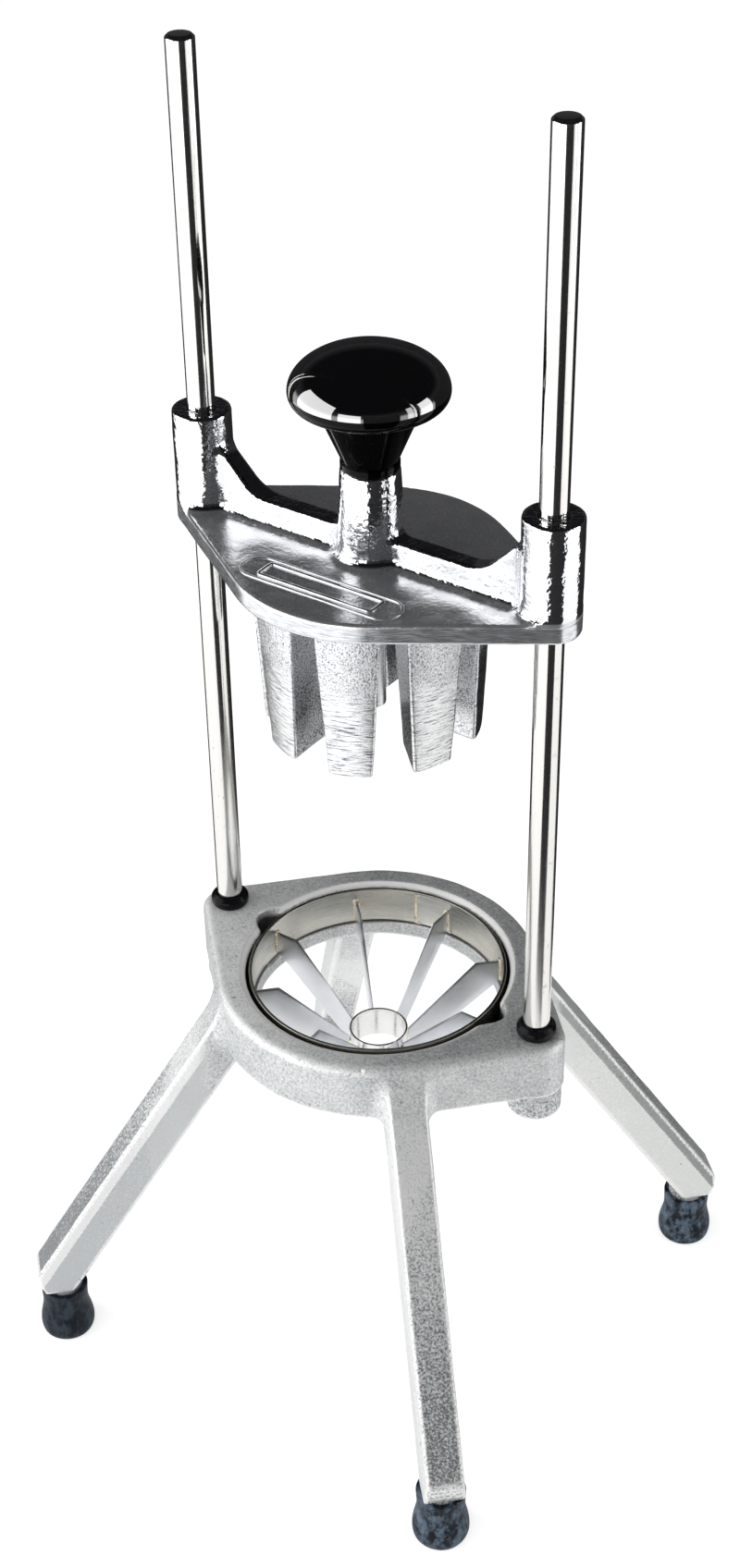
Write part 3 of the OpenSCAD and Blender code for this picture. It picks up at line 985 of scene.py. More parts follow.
@dataclass(frozen=True)
class RolledSteel(Finish):
    """Rolled stainless strip: level rolling lines, cloudy tone, a warm stain."""

    tone: Colour = (0.74, 0.73, 0.69)
    stain: Colour = (0.55, 0.49, 0.39)
    line_waves: Colour = (90, 90, 1900)
    rough: float = 0.2
    cloud_waves: float = 70

    def draw(self, sketch: NodeSketch) -> None:
        """Rolling lines and cloudy stains.

        Args:
            sketch: The nodes to add to.
        """
        lines = sketch.streaks(self.line_waves, 3, 0.65)
        cloud = sketch.noise(self.cloud_waves, 3, 0.6).span(0.45, 0.75)
        rough = lines.span(0.25, 0.75, self.rough, self.rough + 0.16)
        sketch.surface({"Base Color": sketch.mix(cloud * 0.5, self.tone, self.stain), "Metallic": 1.0,
                        "Roughness": rough, "Normal": sketch.bump(lines, 0.02, 0.5)})


@dataclass(frozen=True)
class CutStrip(RolledSteel):
    """Strip cut into blades: fine level lines on its faces, smoother along its upward edges, which carry a
    painted dark reflection.
    """

    cloud_waves: float = 45
    # Colour of the upward edges, darker: a painted dark reflection
    edge: Colour = (0.58, 0.60, 0.63)
    edge_rough: float = 0.14

    def draw(self, sketch: NodeSketch) -> None:
        """Fine lines on the faces, a polished edge on top with a painted dark reflection.

        Args:
            sketch: The nodes to add to.
        """
        lines = sketch.streaks(self.line_waves, 3, 0.65)
        upward = sketch.upward().span(0.15, 0.3)
        cloud = sketch.noise(self.cloud_waves, 2, 0.5).span(0.35, 0.7)
        tone = sketch.mix(cloud, self.tone, self.stain)
        rough = sketch.blend(upward, lines.span(0.25, 0.75, self.rough, self.rough + 0.08), self.edge_rough)
        # Upward edges: smoother, and darker in colour as a painted dark reflection
        sketch.surface({"Base Color": sketch.mix(upward, tone, self.edge), "Metallic": 1.0,
                        "Roughness": rough, "Normal": sketch.bump(lines, 0.01, 0.4)})


@dataclass(frozen=True)
class HeatTinted(Finish):
    """Weld metal with straw, brown and blue heat colours."""

    colours: tuple[tuple[float, Colour], ...] = (
        (0.25, (0.46, 0.36, 0.24)), (0.42, (0.84, 0.72, 0.52)),
        (0.58, (0.97, 0.92, 0.80)), (0.8, (0.74, 0.73, 0.72)))
    patch_waves: float = 420
    ripple_waves: float = 2400

    def draw(self, sketch: NodeSketch) -> None:
        """Heat colours in patches over a rippled bead.

        Args:
            sketch: The nodes to add to.
        """
        patch = sketch.noise(self.patch_waves, 3, 0.6)
        sketch.surface({"Base Color": sketch.ramp(patch, self.colours), "Metallic": 1.0,
                        "Roughness": patch.span(0.2, 0.8, 0.28, 0.5),
                        "Normal": sketch.bump(sketch.noise(self.ripple_waves, 2, 0.5), 0.05, 0.6)})


@dataclass(frozen=True)
class GlossBlack(Finish):
    """High-gloss black moulding with a faint swirl of polish and dust."""

    rough: float = 0.035
    index: float = 2.2
    coat_index: float = 2.9
    tone: Colour = (0.0008, 0.0008, 0.001)
    dust: Colour = (0.2, 0.2, 0.2)
    slow_waves: float = 60
    dust_waves: float = 2300

    def draw(self, sketch: NodeSketch) -> None:
        """Almost even black, a little uneven in gloss.

        Args:
            sketch: The nodes to add to.
        """
        slow = sketch.noise(self.slow_waves, 2, 0.5)
        dust = sketch.noise(self.dust_waves, 2, 0.6).span(0.74, 0.80)
        rough = slow.span(0.3, 0.7, self.rough, self.rough + 0.03) + dust * 0.2
        sketch.surface({"Base Color": sketch.mix(dust * 0.05, self.tone, self.dust), "Roughness": rough,
                        "IOR": self.index, "Coat Weight": 1.0, "Coat Roughness": 0.02,
                        "Coat IOR": self.coat_index, "Normal": sketch.bump(slow, 0.03, 0.2)})


@dataclass(frozen=True)
class MouldedRubber(Finish):
    """Black or dark rubber with scuffs and chalky bloom, paler toward the right."""

    tone: Colour = (0.012, 0.012, 0.014)
    bloom: Colour = (0.10, 0.105, 0.115)
    share: float = 0.2
    rough: float = 0.32
    index: float = 1.22
    cloud_waves: float = 230
    skin_waves: float = 1500
    streak_waves: Colour = (380, 380, 110)

    def draw(self, sketch: NodeSketch) -> None:
        """Bloom in clouds and streaks over a pebbled skin.

        Args:
            sketch: The nodes to add to.
        """
        cloud, skin = sketch.noise(self.cloud_waves, 5, 0.68), sketch.noise(self.skin_waves, 3, 0.6)
        streaks = sketch.streaks(self.streak_waves, 4, 0.65)
        worn = (cloud + streaks * 0.6).span(0.69, 0.96) * self.share
        worn = sketch.math("MULTIPLY", worn, sketch.across().span(-0.10, 0.10, 0.3, 1.4), use_clamp=True)
        rough = skin.span(0.3, 0.7, self.rough, self.rough + 0.12) + worn * 0.3
        sketch.surface({"Base Color": sketch.mix(worn, self.tone, self.bloom), "Roughness": rough,
                        "IOR": self.index, "Normal": sketch.bump(skin * 0.4 + cloud, 0.12, 0.5)})


class Finishes(Enum):
    """Every finish of this object."""

    BASE = SandCast("sand_cast_aluminium")
    HEAD = TumbledCast("tumbled_aluminium")
    ROD = Polished("polished_rod")
    STRIP = RolledSteel("rolled_strip", (0.54, 0.53, 0.48), (0.44, 0.41, 0.35), (40, 40, 1300), 0.22)
    TUBE = RolledSteel("core_tube_steel", (0.86, 0.86, 0.85), (0.70, 0.69, 0.66), (120, 120, 1500), 0.14)
    BLADE = CutStrip("wedge_blade_steel", (0.92, 0.93, 0.95), (0.80, 0.82, 0.85), (60, 60, 1300), 0.32)
    LAP = RolledSteel("lapped_strip", (0.66, 0.65, 0.61), (0.54, 0.52, 0.46), (40, 40, 1300), 0.16)
    WELD = HeatTinted("weld_bead")
    SCREW = RolledSteel("screw_steel", (0.92, 0.91, 0.88), (0.62, 0.58, 0.52), (900, 900, 900), 0.14)
    STUD = RolledSteel("stud_steel", (0.60, 0.60, 0.60), (0.42, 0.41, 0.40), (400, 400, 1500), 0.3)
    BRASS = RolledSteel("insert_brass", (0.80, 0.60, 0.27), (0.55, 0.40, 0.18), (200, 200, 1500), 0.25)
    PIN = RolledSteel("turned_pin", (0.80, 0.81, 0.82), (0.66, 0.67, 0.69), (150, 150, 2200), 0.22)
    KNOB = GlossBlack("gloss_black")
    NECK = GlossBlack("neck_black", 0.08, 1.14, 1.16)
    BUMPER = MouldedRubber("bumper_rubber", (0.004, 0.004, 0.005), (0.04, 0.04, 0.044), 0.2, 0.12)
    FOOT = MouldedRubber("foot_rubber", (0.006, 0.009, 0.014), (0.13, 0.175, 0.23), 0.70, 0.36)


# Sub-assemblies


@dataclass
class BaseCasting:
    """Ring with two rod lobes, bosses below and four splayed legs, one casting."""

    # Ring with its lobes
    top: float = BASE_TOP
    ring_r: float = 59.5
    ring_h: float = 22.3
    lobe_r: float = 10.4
    edge: float = 3.2
    under_edge: float = 1.2
    ripple: float = 0.10
    # Rod bores and the bosses round them
    rod_x: float = ROD_X
    rod_r: float = ROD_R
    bore_gap: float = 0.06
    bore_edge: float = 0.3
    boss_r: float = 9.8
    boss_drop: float = 11.5
    boss_up: float = 2.0
    boss_edge: float = 1.2
    boss_fillet: float = 1.5
    # Seat of the blade ring, with its lip, ledge and screw pockets
    seat_r: float = 48.9
    seat_edge: float = 0.6
    lip_w: float = 1.7
    lip_h: float = 4.0
    ledge_r: float = 45.5
    ledge_h: float = 6.5
    ledge_edge: float = 0.8
    pocket_w: float = 10.0
    pocket_r: float = 49.4
    pocket_fillet: float = 4.0
    # Legs, from the ring down
    foot_x: float = FOOT_X
    foot_y: float = FOOT_Y
    leg_w: float = 15.0
    leg_depth: float = 17.0
    leg_draft: float = 0.9
    leg_parting: float = 4.1
    leg_root_drop: float = 8.0
    leg_root_in: float = 8.5
    root_fillet: float = 5.0
    leg_top: float = 4.5
    leg_top_edge: float = 3.0
    leg_edge: float = 0.9
    leg_under_edge: float = 2.0
    leg_tip_z: float = 33.8
    leg_tip_out: float = 9.5
    leg_toe_h: float = 5.0
    leg_toe_in: float = 2.0
    toe_edge: float = 0.8
    leg_cut_z: float = 24.0
    cut_edge: float = 0.7
    # Plugs that the feet sit on
    plug_r: float = 7.2
    plug_w: float = 14.2
    plug_z: float = 8.0
    plug_up: float = 5.0
    plug_fillet: float = 0.6
    # Blow holes and nicks: place and radius
    nick_edge: float = 0.2
    nicks: tuple[tuple[float, float, float, float], ...] = (
        (28.4, -51.6, 161.8, 1.0), (29.6, -50.9, 162.2, 0.7), (46.4, 36.6, 161.0, 1.1),
        (-22.0, -57.5, 158.6, 0.8), (52.0, -33.5, 161.6, 0.7), (12.0, -60.2, 150.0, 0.8),
        (61.5, 9.0, 162.6, 0.7), (-38.0, 38.5, 162.8, 0.8))

    def ring(self, p: np.ndarray) -> np.ndarray:
        """The ring and its lobes, with rounded edges.

        Args:
            p: Points in millimetres.

        Returns:
            Distances, negative inside.
        """
        plan = eye_outline(p[:, 0], p[:, 1], self.ring_r, self.lobe_r, self.rod_x)
        body = trimmed(plan, p[:, 2] - self.top, self.edge)
        return trimmed(body, self.top - self.ring_h - p[:, 2], self.under_edge)

    def leg(self, p: np.ndarray) -> np.ndarray:
        """All four legs, by their symmetry, with the plugs for the feet.

        Args:
            p: Points in millimetres.

        Returns:
            Distances, negative inside.
        """
        reach = math.hypot(self.foot_x, self.foot_y)
        ex, ey = self.foot_x / reach, self.foot_y / reach
        x, y, z = np.abs(p[:, 0]), np.abs(p[:, 1]), p[:, 2]
        s, t = x * ex + y * ey, np.abs(y * ex - x * ey)
        run = reach + self.leg_tip_out - self.ring_r
        fall = self.top - self.leg_root_drop - self.leg_tip_z
        nx, nz = fall / math.hypot(run, fall), run / math.hypot(run, fall)
        depth = (s - self.ring_r) * nx + (z - self.top + self.leg_root_drop) * nz
        side = t - self.leg_w / 2 + self.leg_draft * np.clip(1 + depth / self.leg_parting, 0, 2)
        bar = trimmed(trimmed(side, depth, self.leg_edge), -depth - self.leg_depth, self.leg_under_edge)
        end, rise = s - reach - self.leg_tip_out, z - self.leg_cut_z
        toe = end * self.leg_toe_h - (rise - self.leg_toe_h) * self.leg_toe_in
        toe = toe / math.hypot(self.leg_toe_h, self.leg_toe_in)
        bar = trimmed(trimmed(bar, end, self.toe_edge), toe, self.toe_edge)
        bar = trimmed(bar, -rise, self.cut_edge)
        bar = trimmed(bar, z - self.top + self.leg_top, self.leg_top_edge)
        bar = np.maximum(bar, self.ring_r - self.leg_root_in - s)
        plug = np.maximum(np.hypot(s - reach, t) - self.plug_r, t - self.plug_w / 2)
        plug = np.maximum(plug, np.maximum(self.plug_z - z, z - self.leg_cut_z - self.plug_up))
        return joined(bar, plug, self.plug_fillet)

    def marks(self, p: np.ndarray) -> np.ndarray:
        """Distances from the small blow holes and nicks in the skin.

        Args:
            p: Points in millimetres.

        Returns:
            Distances to the nearest mark, negative inside it.
        """
        return np.min([np.linalg.norm(p - np.array(at), axis=1) - size for *at, size in self.nicks], axis=0)

    def field(self, p: np.ndarray) -> np.ndarray:
        """The whole casting.

        Args:
            p: Points in millimetres.

        Returns:
            Distances, negative inside.
        """
        x, y, z = np.abs(p[:, 0]), p[:, 1], p[:, 2]
        r, rod = np.hypot(x, y), np.hypot(x - self.rod_x, y)
        low = self.top - self.ring_h
        ends = np.maximum(low - self.boss_drop - z, z - low - self.boss_up)
        boss = trimmed(rod - self.boss_r, ends, self.boss_edge)
        body = joined(joined(self.ring(p), self.leg(p), self.root_fillet), boss, self.boss_fillet)
        body = body - unevenness(p, self.ripple)
        lip = (r - self.seat_r - self.lip_w + (self.top - z)) * COS_45
        seat = np.maximum(r - self.seat_r, low + self.ledge_h - z)
        seat = np.minimum(seat, np.maximum(lip, self.top - self.lip_h - z))
        slab = np.maximum(np.abs(y) - self.pocket_w / 2, np.maximum(x - self.pocket_r, self.ledge_r - x))
        pocket = np.minimum(slab, np.hypot(x - self.pocket_r, y) - self.pocket_w / 2)
        pocket = np.maximum(pocket, low + self.ledge_h - z)
        body = trimmed(body, -joined(seat, pocket, self.pocket_fillet), self.seat_edge)
        body = trimmed(body, self.ledge_r - r, self.ledge_edge)
        body = trimmed(body, -self.marks(p), self.nick_edge)
        return trimmed(body, self.rod_r + self.bore_gap - rod, self.bore_edge)

    def build(self) -> None:
        """Skins and dresses the casting."""
        low, high = (np.array(c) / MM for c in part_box("base_casting"))
        data = SkinMaker(step=1.0).skin(self.field, low, high)
        make_piece("base_casting_skin", data, Finishes.BASE.value, Body.BASE,
                   ["base_casting"])


@dataclass
class GuideRods:
    """Two polished rods and the rubber bumper ring at the foot of each."""

    rod_x: float = ROD_X
    rod_r: float = ROD_R
    low: float = 128.5
    high: float = 493.6
    chamfer: float = 1.0
    seat: float = BASE_TOP
    bumper_r: float = 7.1
    bumper_h: float = 5.0
    gap: float = 0.02
    mouth: float = 0.3
    sole_in: float = 0.5
    belly_low: float = 1.2
    belly_high: float = 1.9
    crown_in: float = 1.6

    def rod(self) -> MeshData:
        """A rod with broken edges at both ends.

        Returns:
            The rod about the Z axis.
        """
        r, c = self.rod_r, self.chamfer
        line = [(0, self.low, 0), (r - c, self.low, 0.4), (r, self.low + c, 0.4),
                (r, self.high - c, 0.7), (r - c, self.high, 0.7), (0, self.high, 0)]
        return lathe(rounded(line), 160)

    def bumper(self) -> MeshData:
        """A rubber ring with a rounded crown.

        Returns:
            The ring about the Z axis.
        """
        inner, r, low, high = self.rod_r + self.gap, self.bumper_r, self.seat, self.seat + self.bumper_h
        ring = [(inner, low + self.mouth, 0), (inner + self.mouth, low, 0.1), (r - self.sole_in, low, 0.45),
                (r, low + self.belly_low, 1.0), (r, high - self.belly_high, 1.5),
                (r - self.crown_in, high, 1.2), (inner + self.mouth, high, 0.2),
                (inner, high - self.mouth, 0)]
        return lathe(rounded(ring), 128, closed=True)

    def build(self) -> None:
        """Places and dresses the rods and bumpers."""
        for side in Side:
            sign, word = side.value
            rod, bumper = (shape.moved(sign * self.rod_x, 0, 0) for shape in (self.rod(), self.bumper()))
            make_piece(f"rod_{word}", rod, Finishes.ROD.value, Body.BASE, [f"guide_rod_{word}"])
            make_piece(f"bumper_ring_{word}", bumper, Finishes.BUMPER.value, Body.BASE,
                       [f"bumper_{word}"])


@dataclass
class RubberFeet:
    """Flared rubber cups on the four leg ends."""

    x: float = FOOT_X
    y: float = FOOT_Y
    height: float = 22.5
    rim_r: float = 9.2
    waist_r: float = 8.9
    waist_z: float = 15.5
    flare_r: float = 10.64
    flare_z: float = 4.0
    base_r: float = 9.4
    bore_r: float = 7.25
    floor: float = 8.0
    skin: float = 0.3
    shrink: float = 0.011
    sway: float = 0.006
    waves: float = 0.004

    def line(self) -> Line:
        """Profile of a cup: sole, flare, waist, rim and bore.

        Returns:
            Points of the profile, from the sole's middle to the bore's floor.
        """
        sole = [(self.base_r + (self.flare_r - self.base_r) * math.sin(a), self.flare_z * (1 - math.cos(a)))
                for a in np.radians(np.linspace(0, 90, 10))]
        wall = [(self.waist_r + (self.flare_r - self.waist_r) * (1 + math.cos(math.pi * t)) / 2,
                 self.flare_z + (self.waist_z - self.flare_z) * t) for t in np.linspace(0.08, 1, 14)]
        rim = rounded([(self.waist_r, self.waist_z + 1, 0), (self.rim_r, self.height, 0.5),
                       (self.bore_r, self.height, 0.4), (self.bore_r, self.floor + 0.5, 0)])
        return [(0, 0)] + sole + wall + rim + [(self.bore_r, self.floor), (0, self.floor)]

    def build(self) -> None:
        """Lathes the four cups, each a little uneven in its own way."""
        cup = lathe(self.line(), 112)
        for k, corner in enumerate(Corner):
            sx, sy, word = corner.value
            p = cup.points.copy()
            turn, z = np.arctan2(p[:, 1], p[:, 0]), p[:, 2]
            size = 1 - self.shrink - self.sway * np.sin(2 * turn + k) * np.sin(z / 6 + k)
            size = size - self.waves * np.sin(5 * turn + 2 * k + z / 3)
            outside = np.hypot(p[:, 0], p[:, 1]) > self.bore_r + self.skin
            p[outside, :2] *= size[outside, None]
            shape = MeshData(p, cup.faces).moved(sx * self.x, sy * self.y, 0)
            make_piece(f"foot_cup_{word}", shape, Finishes.FOOT.value, Body.BASE,
                       [f"foot_{word}"])


@dataclass
class BladeSet:
    """Welded ring of blades: band with fixing lugs, core tube, eight blades sharpened by grinding and their
    welds.
    """

    # Band with its fixing lugs
    band_r: float = 47.6
    band_t: float = 1.2
    band_low: float = 146.5
    band_high: float = 161.5
    band_edge: float = 0.35
    lug_r: float = 49.0
    lug_w: float = 7.2
    lug_t: float = 1.5
    lug_edge: float = 0.25
    # Core tube
    tube_r: float = 11.0
    tube_t: float = 0.8
    tube_low: float = 119.5
    tube_high: float = 132.0
    tube_edge: float = 0.22
    # Blades
    count: int = 8
    blade_t: float = 1.0
    blade_top: float = 156.8
    blade_foot: float = 146.8
    shoulder_r: float = 37.0
    root_z: float = 129.1
    ledge_r: float = 45.2
    heel: float = 3.0
    grind: float = 1.0
    edge_t: float = 0.15
    gap: float = 0.02
    # Lapped end of the band
    lap_t: float = 0.3
    lap_l: float = 15.0
    lap_sunk: float = 0.2
    lap_low: float = 0.5
    lap_high: float = 0.35
    # Welds at the lap, at the band and at the core tube
    weld_r: float = 0.75
    seam_at: float = 106.0
    seam_low: float = 0.8
    seam_high: float = 0.9
    seam_foot: float = 2.6
    seam_head: float = 1.8
    arch_out: float = 0.25
    arch_rise: float = 0.5
    arch_low: float = 0.6
    arch_high: float = 0.3
    root_out: float = 0.1
    root_low: float = 1.0
    root_high: float = 0.8

    def ring_line(self, outer: float, wall: float, low: float, high: float, rounding: float) -> Line:
        """Profile of a short tube with rounded ends.

        Args:
            outer: Outer radius.
            wall: Thickness.
            low: Height of the lower end.
            high: Height of the upper end.
            rounding: Rounding of the ends' edges.

        Returns:
            Points of the closed profile.
        """
        inner = outer - wall
        mid = (low + high) / 2
        return rounded([(inner, mid, 0), (inner, low, rounding), (outer, low, rounding),
                        (outer, high, rounding), (inner, high, rounding), (inner, mid, 0)])[:-1]

    def lug(self) -> MeshData:
        """A flat fixing lug on the right of the band.

        Returns:
            The closed lug.
        """
        half, inner = self.lug_w / 2, self.band_r - self.band_t / 2
        plan = [(inner, -half)] + [(self.lug_r + half * math.sin(a), -half * math.cos(a))
                                   for a in np.linspace(0, math.pi, 25)] + [(inner, half)]
        n, r, rows = len(plan), self.lug_edge, []
        for shrink, z in ((r, 0), (0, r), (0, self.lug_t - r), (r, self.lug_t)):
            share = 1 - shrink / half
            rows += [(inner + (x - inner) * share, y * share, self.band_low + z) for x, y in plan]
        ends = [list(range(n))[::-1], list(range(3 * n, 4 * n))]
        return MeshData(np.array(rows), quads_between(4, n) + ends)

    def blade(self) -> MeshData:
        """One blade along +X with its cutting edge sharpened by grinding.

        Returns:
            The closed blade.
        """
        outer, inner = self.band_r - self.band_t - self.gap, self.tube_r + self.gap
        slope = np.array([self.shoulder_r - inner, self.blade_top - self.root_z])
        slope = slope / np.linalg.norm(slope)
        down = self.grind / slope[0]
        bend = self.shoulder_r + self.grind * (1 - slope[0]) / slope[1]
        keen = [(outer, self.blade_top), (self.shoulder_r, self.blade_top), (inner, self.root_z)]
        flat = [(outer, self.blade_top - self.grind), (bend, self.blade_top - self.grind),
                (inner, self.root_z - down)]
        rest = [(inner, self.tube_low), (inner + self.heel, self.tube_low),
                (self.ledge_r, self.blade_foot), (outer, self.blade_foot)]
        points, t, e = [], self.blade_t / 2, self.edge_t / 2
        for y, k in ((t, e), (-t, -e)):
            points += [(r, y, z) for r, z in flat + rest] + [(r, k, z) for r, z in keen]
        faces = [list(range(7)), list(range(16, 9, -1))]
        faces += [[7, 8, 1, 0], [8, 9, 2, 1], [10, 11, 18, 17], [11, 12, 19, 18]]
        faces += [[17, 18, 8, 7], [18, 19, 9, 8]]
        faces += [[i, i + 10, i + 11, i + 1] for i in range(2, 6)]
        faces += [[0, 6, 16, 10], [0, 10, 17, 7], [2, 9, 19, 12]]
        return MeshData(np.array(points), faces)

    def on_band(self, across: float, z: float, proud: float = 0.0) -> tuple[float, float, float]:
        """A point on the band's inner face, that far across the +X direction and up."""
        r = self.band_r - self.band_t - proud
        return r * math.cos(across / r), r * math.sin(across / r), z

    def arch(self) -> MeshData:
        """Weld that runs up one side of a blade at the band, over its top and down the other side.

        Returns:
            The bead.
        """
        half, rise = self.blade_t / 2 + self.arch_out, self.arch_rise
        low, high = self.blade_foot + self.arch_low, self.blade_top - self.arch_high
        path = [(-half, z) for z in np.linspace(low, high, 16)]
        path += [(-half * math.cos(a), high + rise * math.sin(a)) for a in np.linspace(0.3, math.pi - 0.3, 6)]
        path += [(half, z) for z in np.linspace(high, low, 16)]
        return rippled([self.on_band(y, z) for y, z in path], self.weld_r)

    def root(self, side: int) -> MeshData:
        """Weld up the corner between a blade and the core tube.

        Args:
            side: 1 or -1, for the blade's two sides.

        Returns:
            The bead.
        """
        y = side * (self.blade_t / 2 + self.root_out)
        low, high = self.tube_low + self.root_low, self.root_z - self.root_high
        return rippled([(self.tube_r, y, z) for z in np.linspace(low, high, 16)], self.weld_r)

    def lap(self) -> MeshData:
        """End of the band's strip, lapped over its start on the inside.

        Returns:
            The closed strip end.
        """
        n, t, sunk, rows = 24, self.lap_t, -self.lap_sunk, []
        low, high = self.band_low + self.lap_low, self.band_high - self.lap_high
        for k in range(n + 1):
            across = -self.lap_l + self.lap_l * k / n
            inset = 1.0 if k == n else 0.3 if k == n - 1 else 0.0
            rows += [self.on_band(across, low + inset, sunk), self.on_band(across, high - inset, sunk),
                     self.on_band(across, high - inset, t), self.on_band(across, low + inset, t)]
        ends = [[0, 1, 2, 3], [4 * n + 3, 4 * n + 2, 4 * n + 1, 4 * n]]
        return MeshData(np.array(rows), quads_between(n + 1, 4) + ends)

    def seam(self) -> MeshData:
        """Weld round the lapped end, with a short foot along its lower and upper edges.

        Returns:
            The bead.
        """
        low, high = self.band_low + self.seam_low, self.band_high - self.seam_high
        path = [(-self.seam_foot + self.seam_foot * k / 6, low) for k in range(6)]
        path += [(0.1, z) for z in np.linspace(low + 0.3, high - 0.3, 18)]
        path += [(-self.seam_head * k / 5, high) for k in range(6)]
        return rippled([self.on_band(y, z, self.lap_t / 2) for y, z in path], self.weld_r)

    def build(self) -> None:
        """Makes and dresses the ring, tube, blades and welds."""
        line = self.ring_line(self.band_r, self.band_t, self.band_low, self.band_high, self.band_edge)
        band = lathe(line, 256, closed=True) + self.lug() + self.lug().turned(180)
        make_piece("blade_band", band, Finishes.STRIP.value, Body.BASE, ["blade_ring"])
        line = self.ring_line(self.tube_r, self.tube_t, self.tube_low, self.tube_high, self.tube_edge)
        tube = lathe(line, 128, closed=True)
        make_piece("core_tube_ring", tube, Finishes.TUBE.value, Body.BASE, ["core_tube"])
        make_piece("band_lap", self.lap().turned(self.seam_at), Finishes.LAP.value, Body.BASE)
        blade, welds = self.blade(), self.seam().turned(self.seam_at)
        for k in range(self.count):
            turn = k * 360 / self.count
            name = f"blade_{k + 1}"
            make_piece(f"wedge_{name}", blade.turned(turn), Finishes.BLADE.value, Body.BASE,
                       [name])
            for bead in (self.arch(), self.root(-1), self.root(1)):
                welds = welds + bead.turned(turn)
        make_piece("blade_welds", welds, Finishes.WELD.value, Body.BASE)


